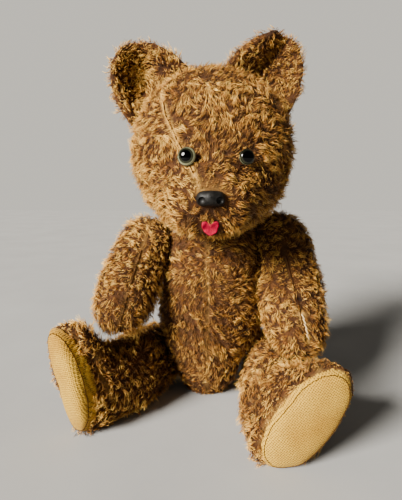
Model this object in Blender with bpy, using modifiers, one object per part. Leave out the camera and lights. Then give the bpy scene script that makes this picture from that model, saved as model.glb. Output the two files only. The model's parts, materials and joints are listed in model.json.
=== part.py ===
"""A disc-jointed mohair teddy bear, sitting, with a worn coat.

Metres, +Z up. The bear faces -Y and its own left is +X. The origin is on the flat seat under the body,
so the seat and both heels stand on z = 0.

Each soft part is a filling inside a cover of separate cloth panels. The head, arms and legs each turn on
a cotter pin through two hardboard discs, one inside the limb and one inside the body.
"""

import math

import bmesh
import bpy
from mathutils import Matrix, Vector
from mathutils.bvhtree import BVHTree

MM = 0.001

# Cloth and gaps
CLOTH = 2.0 * MM
GAP = 0.3 * MM
SEAM_HALF_GAP = GAP / 2
FILLING_INSET = 4.2 * MM
FILLING_DETAIL = 0.3

# Body seam: the two body panels meet a little to the right of the origin
BODY_SEAM_X = -2.0 * MM

# Joint hardware
PIN_WIRE = 0.9 * MM
PIN_SPREAD = 1.05 * MM
PIN_HOLE = 2.6 * MM
WASHER_RADIUS = 6.5 * MM
WASHER = 0.8 * MM
BOARD = 3.0 * MM
BOARD_DEPTH_LIMB = 4.6 * MM
BOARD_DEPTH_BODY = 5.2 * MM
POCKET_DEPTH = 20.5 * MM
DISC_SIDES = 16

# Head: where the neck joint sits, and how far it leans to the front
NECK = Vector((3.5, -6, 198)) * MM
NECK_LEAN = math.radians(12)
HEAD_X = 2.8 * MM

# Eyes, nose and tongue
EYE_RADIUS = 8.2 * MM
EYE_APART = 22.6 * MM
EYES_X = 4.6 * MM
EYE_STAND = 3.1 * MM
EYE_HEIGHT = 248 * MM
NOSE_HEIGHT = 216 * MM

# Joints: the point on the body, how far the axis dips or rises, how far it turns to the back,
# and how far the limb has swung from hanging (arms) or from level (legs)
LIMBS = {
    "right_arm": dict(side=-1, at=(-42.4, -1, 150), rise=13, back=0, swing=36, disc=12),
    "left_arm": dict(side=1, at=(50.6, -1, 150), rise=8, back=0, swing=30, disc=12),
    "right_leg": dict(side=-1, at=(-41.0, 13, 41), rise=-17, back=15, swing=-2.7, disc=15),
    "left_leg": dict(side=1, at=(43.0, -6, 41), rise=-20, back=0, swing=3.0, disc=15),
}
NECK_DISC = 20

COLOURS = {
    "mohair": ((0.36, 0.20, 0.08), 0.9, 0),
    "cotton": ((0.52, 0.37, 0.22), 0.85, 0),
    "wood_wool": ((0.62, 0.50, 0.30), 0.95, 0),
    "hardboard": ((0.24, 0.13, 0.06), 0.7, 0),
    "steel": ((0.45, 0.44, 0.42), 0.4, 1),
    "glass": ((0.06, 0.08, 0.05), 0.05, 0),
    "black_plastic": ((0.01, 0.01, 0.01), 0.3, 0),
    "felt": ((0.55, 0.02, 0.03), 0.9, 0),
}


# --- scene, materials, collections -------------------------------------------------------------------


def clear_scene():
    for thing in list(bpy.data.objects):
        bpy.data.objects.remove(thing, do_unlink=True)


def make_material(name):
    colour, roughness, metallic = COLOURS[name]
    made = bpy.data.materials.new(name)
    made.use_nodes = True
    shader = made.node_tree.nodes["Principled BSDF"]
    shader.inputs["Base Color"].default_value = (*colour, 1)
    shader.inputs["Roughness"].default_value = roughness
    shader.inputs["Metallic"].default_value = metallic
    made.diffuse_color = (*colour, 1)
    return made


clear_scene()
MATERIALS = {name: make_material(name) for name in COLOURS}
BEAR = bpy.data.collections.new("teddy_bear")
CUTTERS = bpy.data.collections.new("cutters")
for collection in (BEAR, CUTTERS):
    bpy.context.scene.collection.children.link(collection)


def add_object(name, data, material, parent=None):
    thing = bpy.data.objects.new(name, data)
    BEAR.objects.link(thing)
    thing.parent = parent
    data.materials.clear()
    data.materials.append(MATERIALS[material])
    if isinstance(data, bpy.types.Mesh):
        data.shade_smooth()
    return thing


def add_cutter(name, data, parent=None, matrix=None):
    thing = bpy.data.objects.new(name, data)
    CUTTERS.objects.link(thing)
    thing.parent = parent
    thing.display_type = "WIRE"
    thing.hide_render = True
    if matrix is not None:
        thing.matrix_basis = matrix
    return thing


def mesh_from(bm, name):
    bmesh.ops.recalc_face_normals(bm, faces=bm.faces)
    data = bpy.data.meshes.new(name)
    bm.to_mesh(data)
    bm.free()
    return data


# --- soft forms --------------------------------------------------------------------------------------


def loft_cage(name, rings, sides, fullness=(1.0, 1.0)):
    """A closed cage through rings, each (centre, first half-axis, second half-axis).

    Fullness is for the half of each ring along its second axis, then for the half against it. Under 1,
    that half is filled out towards a box.
    """
    corners = []
    for k in range(sides):
        cosine, sine = math.cos(2 * math.pi * k / sides), math.sin(2 * math.pi * k / sides)
        cosine = math.copysign(abs(cosine) ** fullness[0 if sine >= 0 else 1], cosine)
        corners.append((cosine, sine))
    bm = bmesh.new()
    loops = [
        [bm.verts.new(centre + first * c + second * s) for c, s in corners]
        for centre, first, second in rings
    ]
    for low, high in zip(loops, loops[1:]):
        for k in range(sides):
            after = (k + 1) % sides
            bm.faces.new((low[k], low[after], high[after], high[k]))
    bm.faces.new(loops[0])
    bm.faces.new(loops[-1])
    return mesh_from(bm, name)


def press_flat(data, planes):
    """Presses the surface back onto each plane (point, outward normal), where it stands past it."""
    for vertex in data.vertices:
        for point, normal in planes:
            past = (vertex.co - point).dot(normal)
            if past > 0:
                vertex.co -= normal * past
    data.update()


def soft_form(name, rings, sides, planes, fullness=(1.0, 1.0)):
    """The skin of one soft part: a cage through its rings, rounded, and pressed flat at each plane."""
    grow = 1 / math.cos(math.pi / sides)
    grown = [(centre, first * grow, second * grow) for centre, first, second in rings]
    data = loft_cage(name, grown, sides, fullness)
    cage = bpy.data.objects.new(name, data)
    bpy.context.scene.collection.objects.link(cage)
    rounder = cage.modifiers.new("round", "SUBSURF")
    rounder.levels = rounder.render_levels = 1
    graph = bpy.context.evaluated_depsgraph_get()
    data = bpy.data.meshes.new_from_object(cage.evaluated_get(graph))
    bpy.data.objects.remove(cage)
    press_flat(data, planes)
    return data


def boolean(thing, operation, cutter, solver="EXACT"):
    change = thing.modifiers.new(cutter.name, "BOOLEAN")
    change.operation = operation
    change.object = cutter
    change.solver = solver


def make_cloth(thing, depth=0.0):
    """Gives a skin CLOTH of thickness, starting at a depth under its face."""
    wall = thing.modifiers.new("cloth", "SOLIDIFY")
    wall.thickness = CLOTH
    wall.offset = -1 - 2 * depth / CLOTH


def add_panel(name, form, material, parent, keep=(), cut=()):
    """One cloth panel: the form's skin as cloth, then trimmed to its own area.

    The cloth starts as one closed skin inside another, which EXACT drops on some of the forms.
    """
    panel = add_object(name, form.copy(), material, parent)
    make_cloth(panel)
    for cutter in keep:
        boolean(panel, "INTERSECT", cutter, "MANIFOLD")
    for cutter in cut:
        boolean(panel, "DIFFERENCE", cutter, "MANIFOLD")
    return panel


def add_filling(name, form, parent, cut):
    """The packed wood wool: the form's skin drawn in, with room for the joint hardware."""
    filling = add_object(name, form.copy(), "wood_wool", parent)
    draw_in = filling.modifiers.new("draw_in", "DISPLACE")
    draw_in.strength = -FILLING_INSET
    draw_in.mid_level = 0
    thin = filling.modifiers.new("thin", "DECIMATE")
    thin.ratio = FILLING_DETAIL
    for cutter in cut:
        boolean(filling, "DIFFERENCE", cutter)
    return filling


# --- cutters -----------------------------------------------------------------------------------------


def block(name, low, high, parent=None):
    """A box cutter between two corners."""
    bm = bmesh.new()
    bmesh.ops.create_cube(bm, size=1)
    size = Vector(high) - Vector(low)
    middle = (Vector(high) + Vector(low)) / 2
    bmesh.ops.transform(bm, matrix=Matrix.Translation(middle) @ Matrix.Diagonal((*size, 1)), verts=bm.verts)
    return add_cutter(name, mesh_from(bm, name), parent)


def plug(name, radius, low, high, parent=None, matrix=None, sides=20):
    """A round cutter along its own Z, from low to high."""
    bm = bmesh.new()
    bmesh.ops.create_cone(
        bm,
        cap_ends=True,
        segments=sides,
        radius1=radius,
        radius2=radius,
        depth=high - low,
        matrix=Matrix.Translation((0, 0, (low + high) / 2)),
    )
    return add_cutter(name, mesh_from(bm, name), parent, matrix)


# --- joint hardware: every piece is drawn in the joint's frame, its Z along the axis, out of the body ---


def add_ring(name, inner, outer, low, high, material, parent, steps):
    """A turned disc or washer with a hole."""
    profile = bpy.data.meshes.new(name)
    corners = [(outer, 0, high), (outer, 0, low), (inner, 0, low), (inner, 0, high)]
    profile.from_pydata(corners, [(0, 1), (1, 2), (2, 3), (3, 0)], [])
    ring = add_object(name, profile, material, parent)
    turn = ring.modifiers.new("turn", "SCREW")
    turn.steps = turn.render_steps = steps
    turn.use_merge_vertices = True
    turn.merge_threshold = 0.00001
    return ring


def add_cotter_pin(name, parent):
    """A split pin: one wire folded at the eye inside the limb, its two ends curled inside the body."""
    eye_radius, eye_centre = 3.2 * MM, BOARD_DEPTH_LIMB + BOARD + WASHER + 6.3 * MM
    curl_radius, curl_start = 3.3 * MM, -(BOARD_DEPTH_BODY + BOARD + WASHER + 4.6 * MM)
    curl = []
    for degrees in (120, 90 + 60, 180 + 10, 220, 260, 300, 335, 360):
        angle = math.radians(degrees)
        across = -(PIN_SPREAD + curl_radius) + curl_radius * math.cos(angle)
        curl.append((across, 0, curl_start + curl_radius * math.sin(angle)))
    mouth = math.degrees(math.asin(PIN_SPREAD / eye_radius))
    first, last = 270 - mouth, -90 + mouth
    eye = []
    for k in range(8):
        angle = math.radians(first + (last - first) * k / 7)
        eye.append((eye_radius * math.cos(angle), 0, eye_centre + eye_radius * math.sin(angle)))
    points = curl + eye + [(-x, y, z) for x, y, z in reversed(curl)]
    wire = bpy.data.curves.new(name, "CURVE")
    wire.dimensions = "3D"
    wire.bevel_depth = PIN_WIRE
    wire.bevel_resolution = 1
    wire.use_fill_caps = True
    spline = wire.splines.new("POLY")
    spline.points.add(len(points) - 1)
    for point, place in zip(spline.points, points):
        point.co = (*place, 1)
    return add_object(name, wire, "steel", parent)


def pin_and_board_cutter(name, radius, joint):
    """The pin's hole, with room for a disc on each side of the joint."""
    room, far = radius + GAP, 12 * MM
    limb_high, body_low = BOARD_DEPTH_LIMB + BOARD + GAP, -BOARD_DEPTH_BODY - BOARD - GAP
    steps = (
        (far, PIN_HOLE),
        (limb_high, PIN_HOLE),
        (limb_high, room),
        (BOARD_DEPTH_LIMB - GAP, room),
        (BOARD_DEPTH_LIMB - GAP, PIN_HOLE),
        (GAP - BOARD_DEPTH_BODY, PIN_HOLE),
        (GAP - BOARD_DEPTH_BODY, room),
        (body_low, room),
        (body_low, PIN_HOLE),
        (-far, PIN_HOLE),
    )
    rings = [(Vector((0, 0, z)), Vector((r, 0, 0)), Vector((0, r, 0))) for z, r in steps]
    return add_cutter(name, loft_cage(name, rings, DISC_SIDES), joint)


def add_joint_hardware(joint, label, disc):
    """Both discs, both washers and the pin, and the cutters that make room for them."""
    radius = disc * MM
    limb_low, body_low = BOARD_DEPTH_LIMB, BOARD_DEPTH_BODY
    add_ring(f"{label}_disc_outer", PIN_HOLE, radius, limb_low, limb_low + BOARD, "hardboard", joint, DISC_SIDES)
    add_ring(f"{label}_disc_inner", PIN_HOLE, radius, -body_low - BOARD, -body_low, "hardboard", joint, DISC_SIDES)
    past = BOARD + GAP
    low = limb_low + past
    add_ring(f"{label}_washer_outer", PIN_HOLE, WASHER_RADIUS, low, low + WASHER, "steel", joint, 10)
    high = -body_low - past
    add_ring(f"{label}_washer_inner", PIN_HOLE, WASHER_RADIUS, high - WASHER, high, "steel", joint, 10)
    add_cotter_pin(f"{label}_cotter_pin", joint)
    room = radius + 2 * GAP
    return {
        "hole": pin_and_board_cutter(f"{label}_hole", radius, joint),
        "pocket": plug(f"{label}_pocket", room, -POCKET_DEPTH, POCKET_DEPTH, joint, sides=14),
    }


def add_joint(name, origin, axis, along):
    """An empty on the joint: Z along the axis out of the body, X along the limb."""
    across = axis.cross(along)
    turn = Matrix((along, across, axis)).transposed().to_4x4()
    joint = bpy.data.objects.new(name, None)
    joint.empty_display_size = 0.02
    BEAR.objects.link(joint)
    joint.matrix_world = Matrix.Translation(origin) @ turn
    return joint


def limb_joint(label):
    spec = LIMBS[label]
    rise, back, swing = (math.radians(spec[key]) for key in ("rise", "back", "swing"))
    level = Vector((spec["side"] * math.cos(back), math.sin(back), 0))
    axis = level * math.cos(rise) + Vector((0, 0, math.sin(rise)))
    down = -(Vector((0, 0, 1)) - axis * axis.z).normalized()
    front = Vector((spec["side"] * math.sin(back), -math.cos(back), 0))
    if label.endswith("arm"):
        along = down * math.cos(swing) + front * math.sin(swing)
    else:
        along = front * math.cos(swing) + down * math.sin(swing)
    return add_joint(f"{label}_joint", Vector(spec["at"]) * MM, axis, along)


# --- body --------------------------------------------------------------------------------------------

# Height, half-width, half-depth, and how far the middle stands to the front and to the left
BODY_RINGS = (
    (-3, 22, 22, 0, -1),
    (5, 30, 31, 0, -1),
    (25, 40, 39, 1, -0.5),
    (60, 51, 46, 4, 1),
    (98, 54.5, 48, 5, 2),
    (134, 51, 44, 4, 3.5),
    (162, 45, 38, 3, 4.5),
    (185, 36, 32, 2, 4.5),
    (200, 27, 27, 2, 4.5),
)


def body_rings():
    across, deep = Vector((MM, 0, 0)), Vector((0, MM, 0))
    return [(Vector((x, -front, z)) * MM, across * a, deep * b) for z, a, b, front, x in BODY_RINGS]


def flat_at(joint, clearance=GAP):
    """The plane on the body's side of a joint."""
    axis = joint.matrix_world.to_3x3().col[2].normalized()
    return joint.matrix_world.translation - axis * clearance, axis


def add_body(joints, cutters):
    planes = [flat_at(joint) for joint in joints] + [(Vector((0, 0, 0)), Vector((0, 0, -1)))]
    form = soft_form("body_form", body_rings(), 10, planes)
    big = 0.3
    seam = BODY_SEAM_X
    right_half = block("body_right_half", (-big, -big, -big), (seam - SEAM_HALF_GAP, big, 2 * big))
    left_half = block("body_left_half", (seam + SEAM_HALF_GAP, -big, -big), (big, big, 2 * big))
    holes = [cutter["hole"] for cutter in cutters]
    add_panel("body_panel_right", form, "mohair", None, [right_half], holes)
    add_panel("body_panel_left", form, "mohair", None, [left_half], holes)
    add_filling("body_filling", form, None, [cutter["pocket"] for cutter in cutters])


# --- head --------------------------------------------------------------------------------------------

# Distance behind the origin, height of the middle, half-width and half-height
HEAD_RINGS = (
    (68, 262, 24, 24),
    (59, 263, 47, 47),
    (36, 265, 70, 69),
    (0, 267, 80, 78),
    (-38, 261, 79, 77),
    (-68, 247, 64, 64),
    (-92, 230, 46, 46),
    (-110, 217, 35, 34),
    (-121, 214, 27, 26),
    (-127, 214, 15, 15),
)
HEAD_FULLNESS = (1.0, 0.75)
MUZZLE_START, MUZZLE_TURN = -45, 0.045

# The gusset between the two sides of the head, seen from the front: half-width and height
GUSSET_OUTLINE = (
    (7, 208), (11, 220), (16, 233), (23.5, 250), (32, 266), (41, 286), (48, 310), (51, 335), (50, 370)
)


def muzzle_x(y):
    """The head's middle plane in millimetres: the muzzle points a little to the right."""
    return HEAD_X / MM + MUZZLE_TURN * min(y - MUZZLE_START, 0)


def head_rings():
    across, high = Vector((MM, 0, 0)), Vector((0, 0, MM))
    return [(Vector((muzzle_x(y), y, z)) * MM, across * a, high * h) for y, z, a, h in HEAD_RINGS]


def head_planes(joint):
    point, axis = flat_at(joint)
    return [
        (point + 2 * GAP * axis, -axis),
        (Vector((muzzle_x(-124) * MM, -0.1235, NOSE_HEIGHT)), Vector((0, -0.97, 0.24)).normalized()),
        (Vector((muzzle_x(-124) * MM, -0.1195, 0.200)), Vector((0, -0.90, -0.43)).normalized()),
    ]


def gusset_cutter(name, grow):
    """A prism through the head from front to back, with the gusset's front outline."""
    right = [Vector(((x * MM) + grow, -0.3, z * MM)) for x, z in GUSSET_OUTLINE]
    right[0].z -= grow
    left = [Vector((-p.x, p.y, p.z)) for p in reversed(right)]
    bm = bmesh.new()
    outline = bm.faces.new([bm.verts.new(p + Vector((HEAD_X, 0, 0))) for p in right + left])
    swept = bmesh.ops.extrude_face_region(bm, geom=[outline])["geom"]
    moved = [item for item in swept if isinstance(item, bmesh.types.BMVert)]
    bmesh.ops.translate(bm, verts=moved, vec=(0, 0.6, 0))
    return add_cutter(name, mesh_from(bm, name))


def add_eye(label, side, form_tree):
    """A domed glass eye standing on the cloth, on a looped wire shank that goes into the filling."""
    look = Vector((side * 0.36, -0.90, 0.24)).normalized()
    start = Vector((EYES_X + side * EYE_APART, -0.3, EYE_HEIGHT))
    seat = form_tree.ray_cast(start, Vector((0, 1, 0)))[0]
    turn = look.to_track_quat("Z", "Y").to_matrix().to_4x4()
    place = bpy.data.objects.new(f"{label}_place", None)
    BEAR.objects.link(place)
    place.matrix_world = Matrix.Translation(seat + look * EYE_STAND) @ turn
    bm = bmesh.new()
    bmesh.ops.create_uvsphere(bm, u_segments=16, v_segments=10, radius=EYE_RADIUS)
    bmesh.ops.bisect_plane(
        bm,
        geom=bm.verts[:] + bm.edges[:] + bm.faces[:],
        plane_co=(0, 0, -0.2 * MM),
        plane_no=(0, 0, -1),
        clear_outer=True,
    )
    bmesh.ops.holes_fill(bm, edges=[edge for edge in bm.edges if edge.is_boundary])
    bmesh.ops.scale(bm, vec=(1, 1, 0.82), verts=bm.verts)
    bmesh.ops.translate(bm, verts=bm.verts, vec=(0, 0, 0.6 * MM))
    eye = add_object(label, mesh_from(bm, label), "glass", place)
    boolean(eye, "DIFFERENCE", plug(f"{label}_shank_socket", 1.1 * MM, -2 * MM, 3.4 * MM, place, sides=8))
    shank = bpy.data.curves.new(f"{label}_shank", "CURVE")
    shank.dimensions = "3D"
    shank.bevel_depth = 0.7 * MM
    shank.bevel_resolution = 1
    shank.use_fill_caps = True
    loop = [(0, 0, 3.0)]
    for degrees in (90, 45, 0, -45, -90, -135, -180, -220):
        angle = math.radians(degrees)
        loop.append((2.2 * math.cos(angle), 0, -11 + 2.2 * math.sin(angle)))
    spline = shank.splines.new("POLY")
    spline.points.add(len(loop) - 1)
    for point, (x, y, z) in zip(spline.points, loop):
        point.co = (x * MM, y * MM, z * MM, 1)
    add_object(f"{label}_shank", shank, "steel", place)
    return (
        plug(f"{label}_cloth_hole", 1.2 * MM, -7 * MM, 7 * MM, place, sides=8),
        plug(f"{label}_room", 3.8 * MM, -16 * MM, 4 * MM, place, sides=10),
    )


def add_nose(joint_planes):
    """A moulded nose: a rounded block with two nostrils, flat at the back."""
    point, out = joint_planes[1]
    turn = out.to_track_quat("Z", "Y").to_matrix().to_4x4()
    bm = bmesh.new()
    bmesh.ops.create_uvsphere(bm, u_segments=20, v_segments=10, radius=1)
    bmesh.ops.bisect_plane(
        bm,
        geom=bm.verts[:] + bm.edges[:] + bm.faces[:],
        plane_co=(0, 0, 0),
        plane_no=(0, 0, -1),
        clear_outer=True,
    )
    bmesh.ops.holes_fill(bm, edges=[edge for edge in bm.edges if edge.is_boundary])
    bmesh.ops.scale(bm, vec=(11 * MM, 6.6 * MM, 8.5 * MM), verts=bm.verts)
    bmesh.ops.translate(bm, verts=bm.verts, vec=(0, 0, GAP))
    nose = add_object("nose", mesh_from(bm, "nose"), "black_plastic")
    nose.matrix_world = Matrix.Translation(point) @ turn
    for side in (-1, 1):
        drill = Matrix.Translation((side * 4.4 * MM, -1.6 * MM, 8.6 * MM))
        boolean(nose, "DIFFERENCE", plug(f"nostril_{side}", 1.7 * MM, -2 * MM, 2 * MM, nose, drill, 8))


def add_tongue(joint_planes):
    """A flat felt tongue, wider at the top, stitched under the nose."""
    _, out = joint_planes[2]
    half = ((2, -6), (5.2, -3.6), (6.8, 1), (6.6, 4.6), (4.5, 5.4))
    outline = [(0, 4.2), *((-x, y) for x, y in reversed(half)), *half]
    bm = bmesh.new()
    face = bm.faces.new([bm.verts.new((x * MM, y * MM, GAP)) for x, y in outline])
    swept = bmesh.ops.extrude_face_region(bm, geom=[face])["geom"]
    moved = [item for item in swept if isinstance(item, bmesh.types.BMVert)]
    bmesh.ops.translate(bm, verts=moved, vec=(0, 0, 1.6 * MM))
    tongue = add_object("tongue", mesh_from(bm, "tongue"), "felt")
    turn = out.to_track_quat("Z", "Y").to_matrix().to_4x4()
    point = joint_planes[2][0]
    up = turn.to_3x3().col[1]
    tongue.matrix_world = Matrix.Translation(point - up * 8.0 * MM) @ turn


# Each ear: the middle of its base, the way it points, its half-width and height
EARS = {
    "ear_right": dict(base=(-49.5, -4, 317), point=(-0.650, 0, 0.760), half_width=43, height=64.5),
    "ear_left": dict(base=(50, -4, 325), point=(0.53, 0, 0.848), half_width=42, height=61),
}
EAR_CUP = 15 * MM


def add_ear(label, head_block):
    """Two cupped panels, one behind the other, standing on the head."""
    spec = EARS[label]
    up = Vector(spec["point"]).normalized()
    back = Vector((-0.10 * up.x, 1, -0.08)).normalized()
    across = up.cross(back).normalized()
    back = across.cross(up).normalized()
    turn = Matrix((across, up, back)).transposed().to_4x4()
    place = Matrix.Translation(Vector(spec["base"]) * MM) @ turn
    for layer, depth in (("back", 0.0), ("front", CLOTH + GAP)):
        name = f"{label}_{layer}"
        bm = bmesh.new()
        standing = Matrix.Rotation(math.pi / 2, 4, "X")
        bmesh.ops.create_uvsphere(bm, u_segments=14, v_segments=8, radius=1, matrix=standing)
        for normal, offset in (((0, 0, -1), 0.0), ((0, -1, 0), -0.15)):
            bmesh.ops.bisect_plane(
                bm,
                geom=bm.verts[:] + bm.edges[:] + bm.faces[:],
                plane_co=Vector(normal) * -offset,
                plane_no=normal,
                clear_outer=True,
            )
        reach = (spec["half_width"] * MM, spec["height"] * MM, EAR_CUP)
        bmesh.ops.scale(bm, vec=reach, verts=bm.verts)
        data = bpy.data.meshes.new(name)
        bm.to_mesh(data)
        bm.free()
        ear = add_object(name, data, "mohair")
        ear.matrix_world = place
        make_cloth(ear, depth)
        boolean(ear, "DIFFERENCE", head_block)


def add_head(joint, cutter):
    planes = head_planes(joint)
    form = soft_form("head_form", head_rings(), 10, planes, HEAD_FULLNESS)
    shape = BVHTree.FromPolygons(
        [v.co for v in form.vertices], [tuple(p.vertices) for p in form.polygons]
    )
    holes, rooms = [cutter["hole"]], [cutter["pocket"]]
    for label, side in (("eye_right", -1), ("eye_left", 1)):
        hole, room = add_eye(label, side, shape)
        holes.append(hole)
        rooms.append(room)
    big = 0.3
    right_half = block("head_right_half", (-big, -big, 0), (HEAD_X - SEAM_HALF_GAP, big, 2 * big))
    left_half = block("head_left_half", (HEAD_X + SEAM_HALF_GAP, -big, 0), (big, big, 2 * big))
    inside = gusset_cutter("gusset_area", -SEAM_HALF_GAP)
    around = gusset_cutter("gusset_area_wide", SEAM_HALF_GAP)
    add_panel("head_panel_right", form, "mohair", None, [right_half], [around, *holes])
    add_panel("head_panel_left", form, "mohair", None, [left_half], [around, *holes])
    add_panel("head_gusset", form, "mohair", None, [inside], holes)
    add_filling("head_filling", form, None, rooms)
    grown = add_cutter("head_block", form.copy())
    swell = grown.modifiers.new("swell", "DISPLACE")
    swell.strength = GAP
    swell.mid_level = 0
    for label in EARS:
        add_ear(label, grown)
    add_nose(planes)
    add_tongue(planes)


# --- limbs: drawn in the joint's frame, X along the limb, Z out from the body ------------------------

# Along the limb, forward of its line, out from the body, half-depth, half-thickness
ARM_RINGS = (
    (-37, 0, 26, 13, 13),
    (-29, 0, 27, 21, 25),
    (-8, 0, 28.5, 26, 31.5),
    (14, 0, 29.5, 26.5, 32),
    (38, 1, 32, 27, 30),
    (66, 4, 32, 27.5, 29),
    (90, 8, 31, 24.5, 25),
    (104, 11, 30.5, 16, 15.5),
    (109, 12, 30, 9, 9),
)
ARM_REACH = {"right_arm": 0.86, "left_arm": 0.975}

# Along the leg, towards the toes, out from the body, half-height, half-thickness
LEG_RINGS = (
    (-28, 0, 22, 15, 15),
    (-20, 0, 22, 25, 24),
    (4, 0, 22, 31.5, 29.5),
    (42, 0, 22.5, 33, 30.5),
    (74, 0.5, 23.5, 32.5, 31),
    (91, 7.5, 24, 37.5, 30.5),
    (104, 15, 24, 47, 29),
    (116, 19, 23.5, 50.5, 27.5),
    (126, 20, 23.5, 51.5, 26.5),
    (129.5, 20, 23.5, 49, 23),
)
LEG_FULLNESS = (0.8, 0.8)
LEG_REACH = {"right_leg": 1.0, "left_leg": 1.09}
LEG_TWIST = {"right_leg": 0, "left_leg": 14}
LEG_BOW = {"right_leg": 34, "left_leg": 2}
BOW_END, BOW_POWER = 128, 1.7
SOLE_START = 125 * MM

# How far out from the body the seams between inner and outer panels lie
ARM_SEAM = 29 * MM
LEG_SEAM = 24.4 * MM


def limb_rings(table, sense, reach=1.0, twist=0.0, bow=0.0):
    """Sense is +1 where the frame's Y points to the front (arm) or to the toes (leg).

    A bowed limb leaves the body along its joint's plane and then swings outwards. Its rings stay square
    to its line.
    """
    rings = []
    for along, side, out, half_y, half_z in table:
        bent = max(along, 0) / BOW_END
        slope = bow * BOW_POWER * bent ** (BOW_POWER - 1) / BOW_END
        turned = math.radians(twist) * min(max(along / 100, 0), 1)
        line = Vector((1, 0, slope)).normalized()
        square = Vector((-line.z, 0, line.x))
        toe = Vector((0, sense, 0)) * math.cos(turned) + square * math.sin(turned)
        thick = Vector((0, -sense, 0)) * math.sin(turned) + square * math.cos(turned)
        centre = Vector((along * (reach if along > 0 else 1), 0, out + bow * bent**BOW_POWER)) + toe * side
        rings.append((centre * MM, toe * half_y * MM, thick * half_z * MM))
    return rings


def add_limb(label, joint, cutter):
    sense = -LIMBS[label]["side"]
    planes = [(Vector((0, 0, GAP)), Vector((0, 0, -1)))]
    is_leg = label.endswith("leg")
    if is_leg:
        to_joint = joint.matrix_world.inverted()
        planes.append((to_joint @ Vector((0, 0, 2 * GAP)), to_joint.to_3x3() @ Vector((0, 0, -1))))
        reach, twist, bow = LEG_REACH[label], LEG_TWIST[label], LEG_BOW[label]
        rings = limb_rings(LEG_RINGS, sense, reach, twist, bow)
        form = soft_form(f"{label}_form", rings, 8, planes, LEG_FULLNESS)
    else:
        rings = limb_rings(ARM_RINGS, sense, ARM_REACH[label])
        form = soft_form(f"{label}_form", rings, 8, planes)
    big = 0.3
    middle = LEG_SEAM if is_leg else ARM_SEAM
    inner_side = block(f"{label}_inner_side", (-big, -big, -big), (big, big, middle - SEAM_HALF_GAP), joint)
    outer_side = block(f"{label}_outer_side", (-big, -big, middle + SEAM_HALF_GAP), (big, big, big), joint)
    trims = []
    if is_leg:
        sole_start = SOLE_START * reach
        trims = [block(f"{label}_sole_side", (sole_start, -big, -big), (big, big, big), joint)]
        sole_area = block(f"{label}_sole_area", (sole_start + GAP, -big, -big), (big, big, big), joint)
        add_panel(f"{label}_foot_pad", form, "cotton", joint, [sole_area])
    add_panel(f"{label}_panel_inner", form, "mohair", joint, [inner_side], [*trims, cutter["hole"]])
    add_panel(f"{label}_panel_outer", form, "mohair", joint, [outer_side], trims)
    add_filling(f"{label}_filling", form, joint, [cutter["pocket"]])


# --- the bear ----------------------------------------------------------------------------------------


def main():
    lean = Vector((0, -math.sin(NECK_LEAN), math.cos(NECK_LEAN)))
    neck = add_joint("neck_joint", NECK, lean, Vector((1, 0, 0)))
    joints = {"neck": neck} | {label: limb_joint(label) for label in LIMBS}
    bpy.context.view_layer.update()
    cutters = {"neck": add_joint_hardware(neck, "neck", NECK_DISC)}
    for label, spec in LIMBS.items():
        cutters[label] = add_joint_hardware(joints[label], label, spec["disc"])
    bpy.context.view_layer.update()
    add_body(joints.values(), cutters.values())
    add_head(neck, cutters["neck"])
    for label in LIMBS:
        add_limb(label, joints[label], cutters[label])


main()
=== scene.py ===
"""A worn, disc-jointed teddy bear in golden-brown mohair: its pile, seams, glass eyes and woven foot pads.

Each stuffed part gets one soft backing in place of its CAD panels, set all over with locks of mohair. The
soles, eyes, nose and tongue are shaped anew in the space of their CAD solids. The seams are sewn in stitches.
"""

import json
import math

import bpy
import numpy as np
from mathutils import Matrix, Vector
from mathutils.bvhtree import BVHTree
from mathutils.kdtree import KDTree


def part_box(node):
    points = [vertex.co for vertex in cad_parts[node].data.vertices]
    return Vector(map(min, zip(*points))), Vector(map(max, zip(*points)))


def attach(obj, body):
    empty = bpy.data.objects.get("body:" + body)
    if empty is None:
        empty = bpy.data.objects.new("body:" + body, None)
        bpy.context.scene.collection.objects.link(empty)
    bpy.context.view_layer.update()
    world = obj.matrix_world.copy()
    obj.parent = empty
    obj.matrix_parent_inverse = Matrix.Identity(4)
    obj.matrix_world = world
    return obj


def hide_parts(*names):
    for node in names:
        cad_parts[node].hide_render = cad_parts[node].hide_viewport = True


MM = 0.001
UP = np.array([0.0, 0.0, 1.0])
BACK = np.array([0.0, 1.0, 0.0])

# Mohair from its shaded root to its bleached tip
ROOT_SHADE = (0.014, 0.0035, 0.0005, 1)
DARK_PILE = (0.085, 0.022, 0.0015, 1)
WARM_PILE = (0.400, 0.132, 0.007, 1)
PALE_PILE = (1.0, 0.660, 0.150, 1)

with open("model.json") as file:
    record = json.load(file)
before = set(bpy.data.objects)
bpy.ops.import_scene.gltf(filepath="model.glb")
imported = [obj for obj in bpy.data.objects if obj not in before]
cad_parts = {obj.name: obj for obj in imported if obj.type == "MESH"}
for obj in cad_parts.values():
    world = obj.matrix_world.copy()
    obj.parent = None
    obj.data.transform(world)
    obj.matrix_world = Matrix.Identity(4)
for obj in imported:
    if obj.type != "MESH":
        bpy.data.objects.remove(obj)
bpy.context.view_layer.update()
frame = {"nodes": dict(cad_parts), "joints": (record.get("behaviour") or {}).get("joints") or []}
cad = frame["nodes"]
joints = {joint["name"]: joint for joint in frame["joints"]}


# Tools for making meshes


def only(*things):
    """Selects these objects alone, and makes the first one active."""
    bpy.ops.object.select_all(action="DESELECT")
    for thing in things:
        thing.select_set(True)
    bpy.context.view_layer.objects.active = things[0]


def start_afresh():
    """Leaves nothing selected, so that the next form to be added is worked on alone."""
    only(cad["nose"])
    bpy.ops.object.select_all(action="DESELECT")


def read(items, name, wide, kind=np.float32):
    """One attribute of many vertices, faces or corners as an array with `wide` columns."""
    values = np.empty(len(items) * wide, kind)
    items.foreach_get(name, values)
    return values.reshape(-1, wide) if wide > 1 else values


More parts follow.
